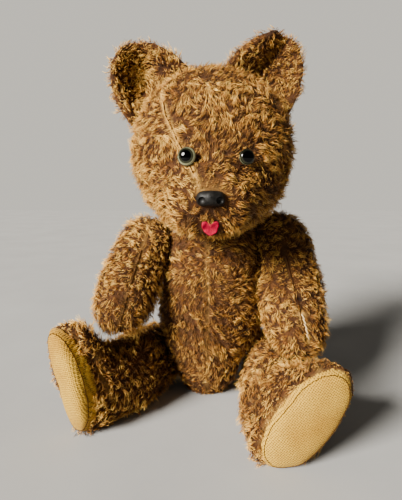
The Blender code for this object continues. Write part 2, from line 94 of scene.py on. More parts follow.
def corners_of(piece):
    return read(piece.data.vertices, "co", 3).astype(float)


def middle(name):
    low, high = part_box(name)
    return (low + high) / 2


def copies(names):
    """A copy of each of these CAD solids, free of its body."""
    made = []
    for name in names:
        copy = bpy.data.objects.new(name + "_copy", cad[name].data.copy())
        bpy.context.scene.collection.objects.link(copy)
        made.append(copy)
    return made


def modified(piece, kind, **settings):
    """Adds a modifier and applies it."""
    only(piece)
    modifier = piece.modifiers.new(kind, kind)
    for name, value in settings.items():
        setattr(modifier, name, value)
    bpy.ops.object.modifier_apply(modifier=modifier.name)


PLUG_RADIUS = 4 * MM


def ball(radius, at):
    bpy.ops.mesh.primitive_ico_sphere_add(subdivisions=2, radius=radius, location=at)
    made = bpy.context.active_object
    bpy.ops.object.transform_apply()
    return made


def largest_part(piece):
    """Keeps the island of the mesh that spans most, which leaves out any hollow inside it."""
    only(piece)
    bpy.ops.object.mode_set(mode="EDIT")
    bpy.ops.mesh.separate(type="LOOSE")
    bpy.ops.object.mode_set(mode="OBJECT")
    parts = list(bpy.context.selected_objects)
    kept = max(parts, key=lambda part: part.dimensions.length)
    name, kept.name = piece.name, "kept"
    for part in parts:
        if part is not kept:
            bpy.data.objects.remove(part)
    kept.name = name
    return kept


def soft_form(name, solids, grain, rounds, plugs=()):
    """One closed, smooth form from CAD solids that touch, with a ball set in the hole of each pin.

    The grain is the size of its facets in millimetres, and rounds is how often it is smoothed.
    """
    parts = copies(solids) + [ball(PLUG_RADIUS, at) for at in plugs]
    only(*parts)
    bpy.ops.object.join()
    piece = bpy.context.active_object
    piece.name = piece.data.name = name
    modified(piece, "REMESH", mode="VOXEL", voxel_size=grain * MM)
    piece = largest_part(piece)
    modified(piece, "SMOOTH", factor=0.5, iterations=rounds)
    piece.data.materials.clear()
    piece.data.shade_smooth()
    return piece


def settle(piece, body, material, replaced=()):
    """Gives a piece its material and body, and hides the CAD nodes that it stands for."""
    piece.data.materials.clear()
    piece.data.materials.append(material)
    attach(piece, body)
    if replaced:
        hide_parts(*replaced)


def tree_of(thing):
    mesh = thing.data
    return BVHTree.FromPolygons([v.co for v in mesh.vertices], [tuple(p.vertices) for p in mesh.polygons])


def nearest(points, tree):
    """The nearest place on a tree's surface to each point, and how far it is."""
    found = [tree.find_nearest(point) for point in points.tolist()]
    return np.array([hit[0] for hit in found]), np.array([hit[3] for hit in found])


def gaps(points, trees):
    """How far each point is from each tree's surface, one column a tree."""
    return np.stack([nearest(points, tree)[1] for tree in trees], axis=1)


def unit(vectors):
    return vectors / np.maximum(np.linalg.norm(vectors, axis=-1, keepdims=True), 1e-9)


WAVES = 12


def wander(points, size, seed, wide=3):
    """Smooth values with a spread of about 1 that change over `size` metres, `wide` of them at each point."""
    rng = np.random.default_rng(seed)
    pushes = rng.normal(size=(3, WAVES * wide)) / size
    turns = rng.uniform(0, 2 * math.pi, WAVES * wide)
    return np.sin(points @ pushes + turns).reshape(len(points), WAVES, wide).mean(1) * math.sqrt(2 * WAVES)


def far_from(at, place):
    """How far each point is from one place."""
    return np.linalg.norm(at - np.array(place), axis=1)


def fade(distance, near, far):
    """1 at `near` and closer, 0 at `far` and beyond."""
    return np.clip((far - distance) / (far - near), 0, 1)


# Materials


def feed(tree, socket, value):
    """Links a socket to another node's output, or sets the socket's own value."""
    if isinstance(value, bpy.types.NodeSocket):
        tree.links.new(value, socket)
    else:
        socket.default_value = value


def node(tree, kind, inputs=None, **settings):
    """Adds a shader node, with its settings, and its inputs set or linked."""
    made = tree.nodes.new(kind)
    for name, value in settings.items():
        setattr(made, name, value)
    for name, value in (inputs or {}).items():
        feed(tree, made.inputs[name], value)
    return made


def ramp(tree, value, *stops):
    """A colour that runs through stops, each a place and a colour."""
    made = node(tree, "ShaderNodeValToRGB", {"Fac": value})
    elements = made.color_ramp.elements
    for _ in stops[2:]:
        elements.new(0.5)
    for element, (place, colour) in zip(elements, stops):
        element.position = place
        element.color = colour
    return made.outputs["Color"]


# Where a Mix node keeps its factor, its two colours and its coloured result
MIX_SHARE, MIX_FIRST, MIX_SECOND, MIX_RESULT = 0, 6, 7, 2


def mixed(tree, share, first, second, mode="MIX"):
    made = node(tree, "ShaderNodeMix", data_type="RGBA", blend_type=mode)
    for place, value in ((MIX_SHARE, share), (MIX_FIRST, first), (MIX_SECOND, second)):
        feed(tree, made.inputs[place], value)
    return made.outputs[MIX_RESULT]


def maths(tree, operation, *values):
    made = node(tree, "ShaderNodeMath", operation=operation)
    for place, value in enumerate(values):
        feed(tree, made.inputs[place], value)
    return made.outputs[0]


def group(name, inputs, outputs):
    """An empty shader node group with named inputs (name, kind, value) and outputs (name, kind)."""
    made = bpy.data.node_groups.new(name, "ShaderNodeTree")
    for label, kind, value in inputs:
        socket = made.interface.new_socket(name=label, in_out="INPUT", socket_type="NodeSocket" + kind)
        if value is not None:
            socket.default_value = value
    for label, kind in outputs:
        made.interface.new_socket(name=label, in_out="OUTPUT", socket_type="NodeSocket" + kind)
    return made, made.nodes.new("NodeGroupInput").outputs, made.nodes.new("NodeGroupOutput").inputs


def object_space(tree, scale=(1, 1, 1)):
    """Object coordinates, counted `scale` to the metre each way."""
    given = node(tree, "ShaderNodeTexCoord").outputs["Object"]
    return node(tree, "ShaderNodeMapping", {"Vector": given, "Scale": scale}).outputs["Vector"]


def noise(tree, place, scale, detail, roughness=0.5):
    """Cloudy values from 0 to 1, about `scale` clouds to the unit."""
    return node(tree, "ShaderNodeTexNoise", {
        "Vector": place, "Scale": scale, "Detail": detail, "Roughness": roughness,
    }).outputs["Fac"]


def build_weave():
    """Threads over and under each other, both ways, from coordinates along the cloth counted in threads."""
    tree, given, out = group(
        "plain_weave",
        [("Vector", "Vector", None), ("Slub", "Float", 0.25)],
        [("Height", "Float"), ("Gap", "Float"), ("Tone", "Float")],
    )
    parts = node(tree, "ShaderNodeSeparateXYZ", {"Vector": given["Vector"]}).outputs
    wobble = maths(tree, "SUBTRACT", noise(tree, given["Vector"], 0.35, 2.0), 0.5)
    shift = maths(tree, "MULTIPLY", wobble, given["Slub"])
    waves = []
    for axis in "XY":
        along = maths(tree, "ADD", parts[axis], maths(tree, "MULTIPLY", shift, 4.0))
        waves.append(maths(tree, "ABSOLUTE", maths(tree, "SINE", maths(tree, "MULTIPLY", along, math.pi))))
    over = maths(tree, "GREATER_THAN", maths(
        tree, "MULTIPLY",
        maths(tree, "SINE", maths(tree, "MULTIPLY", parts["X"], math.pi)),
        maths(tree, "SINE", maths(tree, "MULTIPLY", parts["Y"], math.pi)),
    ), 0.0)
    lifted = maths(tree, "MULTIPLY", over, 0.45)
    warp = maths(tree, "MULTIPLY", waves[0], maths(tree, "ADD", 0.55, lifted))
    weft = maths(tree, "MULTIPLY", waves[1], maths(tree, "SUBTRACT", 1.0, lifted))
    height = maths(tree, "MAXIMUM", warp, weft)
    tree.links.new(height, out["Height"])
    tree.links.new(maths(tree, "LESS_THAN", height, 0.45), out["Gap"])
    tree.links.new(noise(tree, given["Vector"], 1.3, 3.0), out["Tone"])
    return tree


WEAVE = build_weave()


def start_material(name, **sockets):
    """A material with a Principled shader whose plain numbers and colours are set on its own sockets."""
    made = bpy.data.materials.new(name)
    made.use_nodes = True
    shader = made.node_tree.nodes["Principled BSDF"]
    for label, value in sockets.items():
        shader.inputs[label.replace("_", " ")].default_value = value
    return made, made.node_tree, shader


def bump(tree, shader, height, distance):
    made = node(tree, "ShaderNodeBump", {"Height": height, "Distance": distance})
    tree.links.new(made.outputs["Normal"], shader.inputs["Normal"])


def mottled(name, first, second, scale, roughness, depth, stretch=(1, 1, 1), **sockets):
    """A plain stuff whose colour, gloss and surface vary a little all over."""
    made, tree, shader = start_material(name, **sockets)
    grain = noise(tree, object_space(tree, stretch), scale, 6.0, 0.62)
    tree.links.new(ramp(tree, grain, (0.32, first), (0.68, second)), shader.inputs["Base Color"])
    gloss = node(tree, "ShaderNodeMapRange", {"Value": grain, "To Min": roughness[0], "To Max": roughness[1]})
    tree.links.new(gloss.outputs["Result"], shader.inputs["Roughness"])
    bump(tree, shader, grain, depth)
    return made


def build_pile_material():
    """Mohair: dark at the root, warm along the lock, straw-pale at the tip. Its tone runs across the map."""
    made, tree, shader = start_material(
        "mohair_pile", Specular_IOR_Level=0.75, Specular_Tint=(1.0, 0.74, 0.36, 1), Sheen_Weight=0.12,
        Sheen_Roughness=0.45, Sheen_Tint=(0.9, 0.62, 0.30, 1),
    )
    flat = node(tree, "ShaderNodeUVMap", uv_map="OFBake").outputs["UV"]
    parts = node(tree, "ShaderNodeSeparateXYZ", {"Vector": flat}).outputs
    deep = ramp(tree, parts["Y"], (0.0, ROOT_SHADE), (0.45, DARK_PILE), (1.0, WARM_PILE))
    light = ramp(tree, parts["Y"], (0.0, DARK_PILE), (0.35, WARM_PILE), (1.0, PALE_PILE))
    tree.links.new(mixed(tree, parts["X"], deep, light), shader.inputs["Base Color"])
    gloss = node(tree, "ShaderNodeMapRange", {"Value": parts["Y"], "To Min": 0.62, "To Max": 0.34})
    tree.links.new(gloss.outputs["Result"], shader.inputs["Roughness"])
    return made


THREADS_A_METRE = 1400.0


def build_backing_material():
    """The mohair's woven back: dark under the pile as painted shade, rubbed pale where the pile has gone, and
    painted black in a hole as the shade inside it.
    """
    made, tree, shader = start_material("mohair_backing", Specular_IOR_Level=0.2)
    place = object_space(tree, (THREADS_A_METRE,) * 3)
    weave = node(tree, "ShaderNodeGroup", {"Vector": place, "Slub": 0.3}, node_tree=WEAVE).outputs
    worn = node(tree, "ShaderNodeAttribute", attribute_name="worn").outputs["Fac"]
    patches = noise(tree, object_space(tree), 160.0, 5.0)
    # Painted shade: the backing is dark where the pile covers it
    dark = ramp(tree, patches, (0.3, (0.024, 0.008, 0.002, 1)), (0.7, (0.085, 0.030, 0.006, 1)))
    pale = ramp(tree, weave["Tone"], (0.3, (0.40, 0.19, 0.035, 1)), (0.7, (0.72, 0.43, 0.11, 1)))
    # Painted shade: black where the moth hole lies
    hole_shade = node(tree, "ShaderNodeAttribute", attribute_name="hole_shade").outputs["Fac"]
    cloth = mixed(tree, hole_shade, mixed(tree, worn, dark, pale), (0.003, 0.001, 0.0003, 1))
    shaded = maths(tree, "ADD", 0.6, maths(tree, "MULTIPLY", weave["Height"], 0.4))
    tree.links.new(mixed(tree, 1.0, cloth, shaded, "MULTIPLY"), shader.inputs["Base Color"])
    shader.inputs["Roughness"].default_value = 0.9
    bump(tree, shader, weave["Height"], 0.0003)
    return made


def build_pad_material():
    """Beige cotton of thick thread, laid by the pad's own map, a little soiled, darker towards its edge."""
    made, tree, shader = start_material("pad_cotton", Specular_IOR_Level=0.15, Sheen_Weight=0.05)
    flat = node(tree, "ShaderNodeUVMap", uv_map="Threads").outputs["UV"]
    weave = node(tree, "ShaderNodeGroup", {"Vector": flat, "Slub": 0.22}, node_tree=WEAVE).outputs
    edge = node(tree, "ShaderNodeAttribute", attribute_name="edge").outputs["Fac"]
    cloth = ramp(tree, weave["Tone"], (0.25, (0.345, 0.175, 0.010, 1)), (0.75, (0.57, 0.345, 0.036, 1)))
    stains = noise(tree, object_space(tree), 38.0, 6.0)
    soil = ramp(tree, stains, (0.32, (0.76, 0.68, 0.56, 1)), (0.60, (1, 1, 1, 1)))
    cloth = mixed(tree, 1.0, cloth, soil, "MULTIPLY")
    shaded = maths(tree, "SUBTRACT", 1.0, maths(tree, "MULTIPLY", weave["Gap"], 0.85))
    cloth = mixed(tree, 1.0, cloth, shaded, "MULTIPLY")
    tree.links.new(mixed(tree, edge, cloth, (0.24, 0.13, 0.055, 1)), shader.inputs["Base Color"])
    shader.inputs["Roughness"].default_value = 0.88
    bump(tree, shader, weave["Height"], 0.0005)
    return made


def build_eye_material():
    """Glass painted at the back: black pupil, grey-green ring with fine rays and pale rim, with painted light
    that brightens them towards one side.
    """
    made, tree, shader = start_material(
        "eye_glass", Roughness=0.04, Specular_IOR_Level=0.15, Coat_Weight=0.07, Coat_Roughness=0.02)
    flat = node(tree, "ShaderNodeUVMap", uv_map="Rings").outputs["UV"]
    parts = node(tree, "ShaderNodeSeparateXYZ", {"Vector": flat}).outputs
    rays = noise(tree, flat, 34.0, 4.0)
    iris = ramp(tree, rays, (0.35, (0.008, 0.010, 0.004, 1)), (0.7, (0.058, 0.057, 0.032, 1)))
    rings = ramp(
        tree, parts["X"], (0.0, (0, 0, 0, 1)), (0.55, (0, 0, 0, 1)), (0.60, (0.7, 0.7, 0.7, 1)),
        (0.70, (1, 1, 1, 1)), (0.745, (0.02, 0.02, 0.02, 1)), (0.81, (8.0, 8.0, 8.6, 1)),
        (0.95, (9.0, 9.0, 9.6, 1)), (0.97, (0.6, 0.6, 0.5, 1)),
    )
    # Painted light: the rings are brighter towards one side of the eye
    painted_light_turn = maths(tree, "COSINE", maths(tree, "ADD", parts["Y"], 0.9))
    painted_light = maths(tree, "ADD", 0.55, maths(tree, "MULTIPLY", painted_light_turn, 0.42))
    painted = mixed(tree, 1.0, iris, rings, "MULTIPLY")
    tree.links.new(mixed(tree, 1.0, painted, painted_light, "MULTIPLY"), shader.inputs["Base Color"])
    return made


MOHAIR = build_pile_material()
BACKING = build_backing_material()
PAD_COTTON = build_pad_material()
EYE_GLASS = build_eye_material()
FELT = mottled("tongue_felt", (0.19, 0.0003, 0.012, 1), (0.38, 0.0006, 0.032, 1), scale=900.0,
               roughness=(0.9, 1.0), depth=0.0005, Specular_IOR_Level=0.1)
NOSE_PLASTIC = mottled("nose_plastic", (0.002, 0.002, 0.002, 1), (0.010, 0.009, 0.008, 1), scale=330.0,
                       roughness=(0.34, 0.60), depth=0.0003, Specular_IOR_Level=0.17)
WOOD_WOOL = mottled("wood_wool", (0.30, 0.20, 0.09, 1), (0.62, 0.47, 0.26, 1), scale=300.0,
                    roughness=(0.8, 0.9), depth=0.002, stretch=(1, 0.2, 1))
HARDBOARD = mottled("hardboard", (0.16, 0.09, 0.04, 1), (0.27, 0.165, 0.08, 1), scale=700.0,
                    roughness=(0.6, 0.75), depth=0.0002)
STEEL_WIRE = mottled("steel_wire", (0.30, 0.29, 0.27, 1), (0.48, 0.46, 0.43, 1), scale=500.0,
                     roughness=(0.3, 0.5), depth=0.0001, Metallic=1.0)
DARK_THREAD = mottled("dark_thread", (0.016, 0.004, 0.001, 1), (0.048, 0.014, 0.002, 1), scale=1500.0,
                      roughness=(0.8, 0.9), depth=0.0002, Specular_IOR_Level=0.1)
PALE_THREAD = mottled("pale_thread", (0.42, 0.27, 0.11, 1), (0.62, 0.43, 0.20, 1), scale=1500.0,
                      roughness=(0.75, 0.9), depth=0.0002)

INSIDE = {
    "filling": WOOD_WOOL, "disc": HARDBOARD, "washer": STEEL_WIRE, "pin": STEEL_WIRE, "shank": STEEL_WIRE,
}
for name, thing in cad.items():
    for word, material in INSIDE.items():
        if word in name:
            thing.data.materials.clear()
            thing.data.materials.append(material)


# The forms that are copied by the thousand: a lock of mohair and a stitch


def taken(form):
    """The corners and faces of a form, which is then removed."""
    corners = read(form.data.vertices, "co", 3)
    faces = np.array([tuple(face.vertices) for face in form.data.polygons], np.int32)
    bpy.data.objects.remove(form)
    return corners, faces


def swelling(sides, radius, steps):
    """Corners and triangles of a thin form drawn up from a small polygon, each step a rise and a widening."""
    start_afresh()
    bpy.ops.mesh.primitive_circle_add(vertices=sides, radius=radius, fill_type="NGON")
    form = bpy.context.active_object
    bpy.ops.object.mode_set(mode="EDIT")
    for rise, widening in steps:
        bpy.ops.mesh.extrude_region_move(TRANSFORM_OT_translate={"value": (0, 0, rise)})
        bpy.ops.transform.resize(value=(widening, widening, 1))
    bpy.ops.mesh.select_all(action="SELECT")
    bpy.ops.mesh.normals_make_consistent(inside=False)
    bpy.ops.mesh.quads_convert_to_tris()
    bpy.ops.object.mode_set(mode="OBJECT")
    return taken(form)


def spindle(sides, waist):
    """Corners and triangles of a thin form that widens from a point to a polygon and ends in a point."""
    start_afresh()
    bpy.ops.mesh.primitive_cone_add(vertices=sides, radius1=1, radius2=0, depth=2, end_fill_type="TRIFAN")
    corners, faces = taken(bpy.context.active_object)
    ring = np.hypot(corners[:, 0], corners[:, 1]) > 0.5
    corners[:, 2] = np.where(ring, waist, corners[:, 2] > 0)
    return corners, faces


LOCK, LOCK_FACES = spindle(3, 0.5)
STITCH, STITCH_FACES = swelling(6, 0.45, ((0.14, 2.0), (0.22, 1.1), (0.28, 1.0), (0.22, 0.9), (0.14, 0.5)))

# The heights at which the lock has corners, and which of them each corner is at
LEVELS = np.unique(LOCK[:, 2].round(4))
LOCK_LEVEL = np.searchsorted(LEVELS, LOCK[:, 2].round(4))

# The pile's map holds this many tones side by side
TONES = 256

# How far above the floor threads and skins stay, and how far below the cloth a lock starts
THREAD_CLEAR = 0.2 * MM
SKIN_CLEAR = 0.4 * MM
ROOT_DEPTH = 0.4 * MM


# How mohair is set over a skin


def sown(skin, per_mm2, seed):
    """Roots spread evenly at random over a skin: places, and the way out of the cloth."""
    rng = np.random.default_rng(seed)
    mesh = skin.data
    mesh.calc_loop_triangles()
    at, out = read(mesh.vertices, "co", 3), read(mesh.vertices, "normal", 3)
    faces = read(mesh.loop_triangles, "vertices", 3, np.int32)
    edges = at[faces[:, 1]] - at[faces[:, 0]], at[faces[:, 2]] - at[faces[:, 0]]
    area = np.linalg.norm(np.cross(*edges), axis=1) / 2
    total = np.cumsum(area)
    count = int(total[-1] / MM**2 * per_mm2)
    stops = (np.arange(count) + rng.random(count)) / count * total[-1]
    chosen = faces[np.searchsorted(total, stops).clip(0, len(faces) - 1)]
    a, b = rng.random(count), rng.random(count)
    swap = a + b > 1
    a[swap], b[swap] = 1 - a[swap], 1 - b[swap]
    share = np.stack([1 - a - b, a, b], axis=1)[:, :, None]
    return (at[chosen] * share).sum(1).astype(float), unit((out[chosen] * share).sum(1).astype(float))


def lines_of(roots, out, lay, length, lift, curl):
    """Each lock's middle line at LEVELS: it starts in the cloth, leaves steeply and bends into its lay."""
    t = LEVELS[None, :, None].astype(float)
    side = unit(np.cross(out, lay))[:, None, :]
    long, up = length[:, None, None], lift[:, None, None]
    rise = up * (1.5 * t - 0.5 * t * t) * out[:, None, :]
    reach = np.sqrt(np.maximum(1 - up * up, 0.05)) * (0.55 * t + 0.45 * t * t) * lay[:, None, :]
    wave = curl[:, None, None] * np.sin(math.pi * 1.1 * t) * side
    return roots[:, None, :] - ROOT_DEPTH * out[:, None, :] * (1 - t) + long * (rise + reach + wave)


def mesh_of(name, corners, faces):
    """A smooth mesh object from many copies of one form: corners by copy, and the form's own faces."""
    count, each = corners.shape[:2]
    index = (faces[None] + (np.arange(count) * each)[:, None, None]).astype(np.int32)
    mesh = bpy.data.meshes.new(name)
    mesh.vertices.add(count * each)
    mesh.vertices.foreach_set("co", corners.astype(np.float32).ravel())
    mesh.loops.add(index.size)
    mesh.loops.foreach_set("vertex_index", index.ravel())
    mesh.polygons.add(index.size // 3)
    mesh.polygons.foreach_set("loop_start", np.arange(0, index.size, 3, dtype=np.int32))
    mesh.update(calc_edges=True)
    mesh.shade_smooth()
    piece = bpy.data.objects.new(name, mesh)
    bpy.context.scene.collection.objects.link(piece)
    return piece


def pile_mesh(name, lines, width, tone, rng):
    """Copies the lock along every line and makes them one mesh, with the map that its colour reads."""
    count = len(lines)
    run = unit(lines[:, -1] - lines[:, 0])
    side = unit(np.cross(run, unit(rng.normal(size=(count, 3)))))
    across = np.cross(run, side)
    corners = lines[:, LOCK_LEVEL] + width[:, None, None] * (
        LOCK[None, :, 0:1] * side[:, None, :] + LOCK[None, :, 1:2] * across[:, None, :])
    corners[..., 2] = np.maximum(corners[..., 2], THREAD_CLEAR)
    piece = mesh_of(name, corners, LOCK_FACES)
    column = (np.clip(tone, 0, 1) * (TONES - 1)).round() + 0.5
    flat = np.empty((count, len(LOCK_FACES), 3, 2), np.float32)
    flat[..., 0] = (column / TONES)[:, None, None] + (LOCK[LOCK_FACES, 0] * 0.3 / TONES)[None]
    dim = 1 + 0.6 * np.clip(tone, -1, 0)
    flat[..., 1] = (0.01 + 0.98 * LOCK[LOCK_FACES, 2])[None] * dim[:, None, None]
    piece.data.uv_layers.new(name="OFBake").data.foreach_set("uv", flat.ravel())
    return piece


def sewn(name, body, skin_tree, line, material, length, radius, pitch, turn=0, lift=0):
    """A row of stitches of one thread along a line that lies on a skin.

    Sizes are in millimetres. Each stitch is turned from the line by so many degrees, and lifted off the skin.
    """
    length, radius, pitch, lift = length * MM, radius * MM, pitch * MM, lift * MM
    line = np.asarray(line, float)
    run = np.concatenate([[0], np.cumsum(np.linalg.norm(np.diff(line, axis=0), axis=1))])
    marks = np.arange(length * 0.6, run[-1] - length * 0.6, pitch)
    on = np.stack([np.interp(marks, run, line[:, i]) for i in range(3)], axis=1)
    ahead = np.stack([np.interp(marks + 0.5 * MM, run, line[:, i]) for i in range(3)], axis=1)
    hits = [skin_tree.find_nearest(place) for place in on.tolist()]
    on, out = np.array([hit[0] for hit in hits]), np.array([hit[1] for hit in hits])
    along = unit(ahead - on)
    side = unit(np.cross(out, along))
    along = unit(np.cross(side, out))
    cos, sin = math.cos(math.radians(turn)), math.sin(math.radians(turn))
    along, side = along * cos + side * sin, side * cos - along * sin
    corners = (on + lift * out)[:, None] + (
        (STITCH[None, :, 2:3] - 0.5) * length * along[:, None]
        + STITCH[None, :, 0:1] * radius * side[:, None] + STITCH[None, :, 1:2] * radius * out[:, None])
    corners[..., 2] = np.maximum(corners[..., 2], THREAD_CLEAR)
    settle(mesh_of(name, corners, STITCH_FACES), body, material)


# A root this much nearer to a foot pad than to any panel is bare
OVER_PAD = 2.2 * MM


def set_pile(name, body, skin, panels, lay_of, wear_and_shade_of, per_mm2, seed, long=8.6, tuft=4.6, swirls=()):
    """Covers a skin with locks about `long` mm long, in tufts `tuft` mm wide.

    A lock belongs to the nearest of the CAD panels, and the second nearest gives its way to the seam. lay_of
    gives the way it lies. wear_and_shade_of gives what is left of its length, how much paler or darker it is
    from wear and from painted shade, and how strongly it is combed away from the seam. The locks of a swirl
    turn round its middle, out to its reach.
    """
    rng = np.random.default_rng(seed)
    roots, out = sown(skin, per_mm2, seed)
    found = [nearest(roots, TREES[panel]) for panel in panels]
    near = np.stack([far for _, far in found], axis=1) + [OVER_PAD * ("pad" in panel) for panel in panels]
    owner, order = near.argmin(1), np.argsort(near, axis=1)
    each = np.arange(len(roots))
    seam = near[each, order[:, 1]]
    apart = unit(roots - np.stack([place for place, _ in found], axis=1)[each, order[:, 1]])
    left, pale, combed = wear_and_shade_of(roots, out, seam, owner)
    kept = (left > 0.05) & ~np.isin(owner, [i for i, panel in enumerate(panels) if "pad" in panel])
    roots, out, owner, left, pale, combed, seam, apart = (
        a[kept] for a in (roots, out, owner, left, pale, combed, seam, apart))
    count = len(roots)

    # Each lock joins the nearest tuft, and the gap between two tufts stays short, its locks darkened as
    # painted shade
    centres = rng.choice(count, max(8, int(count / (per_mm2 * tuft * tuft))), replace=False)
    finder = KDTree(len(centres))
    for i, place in enumerate(roots[centres].tolist()):
        finder.insert(place, i)
    finder.balance()
    found = [finder.find_n(place, 2) for place in roots.tolist()]
    mine = centres[[first[1] for first, _ in found]]
    gap = np.array([second[2] - first[2] for first, second in found])
    between = fade(gap, 0.05 * tuft * MM, 0.42 * tuft * MM)

    def flat_lay(at, way, stray):
        lay = lay_of(at, way) + 1.0 * wander(at, 7 * MM, seed + 1) + 0.45 * wander(at, 20 * MM, seed + 2)
        lay = lay + stray * rng.normal(size=at.shape) + (combed * fade(seam, 0, 6 * MM))[:, None] * apart
        for centre, reach, strength in swirls:
            round_it = unit(np.cross(way, at - np.array(centre)))
            lay = lay + (strength * fade(far_from(at, centre), reach * 0.4, reach))[:, None] * round_it
        return unit(lay - (lay * way).sum(1, keepdims=True) * way)

    # The heart of a swirl is bare, and its locks are darkened as painted shade
    for centre, reach, _ in swirls:
        heart = fade(far_from(roots, centre), reach * 0.12, reach * 0.5)
        left, pale = left * (1 - 0.70 * heart), pale - 1.0 * heart

    # What a tuft's locks share, and what each lock adds
    tuft_lay = flat_lay(roots, out, 0.5)
    tuft_lift = np.clip(0.58 + 0.17 * rng.normal(size=count), 0.22, 0.92)
    tuft_tone = 0.60 + 0.38 * rng.normal(size=count) + 0.16 * wander(roots, 12 * MM, seed + 3, 1)[:, 0]
    tuft_long = 1.0 + 0.22 * np.clip(tuft_tone - 0.5, -1, 1) + 0.10 * rng.normal(size=count)
    length = long * MM * left * tuft_long[mine] * rng.uniform(0.7, 1.2, count) * (1 - 0.44 * between)
    lift = np.clip(tuft_lift[mine] + 0.08 * rng.normal(size=count), 0.25, 0.95)
    lay = unit(tuft_lay[mine] + 0.45 * rng.normal(size=(count, 3)))
    lay = unit(lay - (lay * out).sum(1, keepdims=True) * out)
    lines = lines_of(roots, out, lay, length, lift, 0.22 * rng.normal(size=count))
    lead = lines_of(roots[mine], out[mine], tuft_lay[mine], length, lift, np.zeros(count))
    drawn = (rng.uniform(0.30, 0.88, count)[:, None] * LEVELS[None] ** 1.3)[:, :, None]
    lines = lines * (1 - drawn) + lead * drawn
    # Locks in the gap between tufts are darker, as painted shade
    tone = tuft_tone[mine] + 0.15 * rng.normal(size=count) + pale - 0.75 * between
    width = rng.uniform(0.17, 0.31, count) * MM * (0.75 + 0.25 * left)

    for number, label in enumerate(sorted(set(owner.tolist())), 1):
        of_panel = owner == label
        piece = pile_mesh(f"{name}_{number}", lines[of_panel], width[of_panel], tone[of_panel], rng)
        settle(piece, body, MOHAIR)


# Skins, one for each stuffed part

LIMBS = {
    "right_arm": "right_shoulder", "left_arm": "left_shoulder",
    "right_leg": "right_hip", "left_leg": "left_hip",
}
PANELS = {
    "body": ["body_panel_left", "body_panel_right"],
    "head": ["head_panel_left", "head_panel_right", "head_gusset"],
}
for limb in LIMBS:
    PANELS[limb] = [f"{limb}_panel_inner", f"{limb}_panel_outer"] + [f"{limb}_foot_pad"] * ("leg" in limb)
TREES = {panel: tree_of(cad[panel]) for panels in PANELS.values() for panel in panels}
SEWN_ON = [name for name in cad if name.startswith(("ear_", "eye_", "nose", "tongue"))]
TREES.update({name: tree_of(cad[name]) for name in SEWN_ON})

# Each joint's place, and the way out of the body along its pin
HUBS, OUTWARD = {}, {}
for child, name in {**LIMBS, "head": "neck"}.items():
    HUBS[child] = Vector(joints[name]["pos_m"])
    way = Vector(joints[name]["axis"]).normalized()
    OUTWARD[child] = way if way.dot(HUBS[child] - middle("body_filling")) > 0 else -way


def moved(skin, shift):
    """Moves a mesh's vertices by what shift gives for their places and normals."""
    at = corners_of(skin)
    out = read(skin.data.vertices, "normal", 3).astype(float)
    skin.data.vertices.foreach_set("co", (at + shift(at, out)).astype(np.float32).ravel())
    skin.data.update()


def stand(piece):
    """Flattens what would sink into the floor."""
    moved(piece, lambda at, out: np.maximum(SKIN_CLEAR - at[:, 2], 0)[:, None] * UP)


def mark(skin, name, values):
    """Keeps a value from 0 to 1 at every vertex, for a material to read."""
    attribute = skin.data.attributes.new(name, "FLOAT", "POINT")
    attribute.data.foreach_set("value", np.clip(values, 0, 1).astype(np.float32))


def from_segment(at, start, end):
    """How far points are from a straight line between two points."""
    start, end = np.array(start), np.array(end)
    run = end - start
    share = np.clip((at - start) @ run / (run @ run), 0, 1)
    return np.linalg.norm(at - start - share[:, None] * run, axis=1)


EYES = {side: np.array(middle(f"eye_{side}")) for side in ("left", "right")}
NOSE = np.array(middle("nose"))

# Places on the covers, in metres: tufts that whirl round (middle, reach, strength), a moth hole, a cut that
# was sewn up, the rubbed bridge of the muzzle, the hollow of each ear (x and z, half width and half height),
# and the creases of each ear
WHIRLS = {
    "left_arm": [((0.0698, -0.0407, 0.1303), 13 * MM, 2.8)],
    "right_arm": [((-0.085, -0.0639, 0.1239), 15 * MM, 1.8)],
    "body": [((0.0128, -0.0418, 0.1511), 12 * MM, 1.6), ((-0.020, -0.0480, 0.095), 14 * MM, -1.2)],
    "head": [((0.030, -0.085, 0.293), 13 * MM, 1.4), ((-0.048, -0.075, 0.224), 13 * MM, -1.4)],
}
MOTH_HOLE = (0.0865, -0.0577, 0.1163)
CUT = ((0.0879, -0.0657, 0.1046), (0.0922, -0.0749, 0.0810))
BRIDGE = ((-0.010, -0.121, 0.226), (0.004, -0.122, 0.227))
EAR_HOLLOWS = {"left": ((0.0555, 0.357), (0.010, 0.009)), "right": ((-0.0745, 0.341), (0.018, 0.026))}
EAR_CREASES = {
    "left": [((0.078, 0, 0.377), (0.054, 0, 0.352)), ((0.054, 0, 0.352), (0.087, 0, 0.315))],
    "right": [((-0.066, 0, 0.340), (-0.070, 0, 0.318))],
}


def at_height(at, height, near, far):
    """1 round a height on the bear, fading to 0 above and below it, all in millimetres."""
    return fade(np.abs(at[:, 2] - height * MM), near * MM, far * MM)


def facing(out, side):
    """How squarely a skin faces the bear's left (side 1) or right (side -1)."""
    return (side * out[:, 0]).clip(0, 1)


def torso_fullness(at, out):
    """Thinner just above the seat, and fuller at the waist, the left hip and under both arms."""
    seat = fade(at[:, 2], 40 * MM, 72 * MM) * (at[:, 2] > 4 * MM)
    waist = at_height(at, 90, 6, 32) * np.abs(out[:, 0])
    left = at_height(at, 157, 22, 42) * facing(out, 1)
    right = at_height(at, 147, 14, 34) * facing(out, -1)
    hip = at_height(at, 86, 18, 42) * facing(out, 1)
    return (2.8 * waist - 2.2 * seat + 2.6 * left + 3.4 * hip + 1.8 * right)[:, None] * MM * out


def head_fullness(at, out):
    """A little more stuffing in the crown and high on the left side."""
    crown = fade(-at[:, 2], -325 * MM, -295 * MM)
    cheek = at_height(at, 284, 20, 48) * facing(out, 1)
    return MM * (2.2 * crown + 2.8 * cheek)[:, None] * out


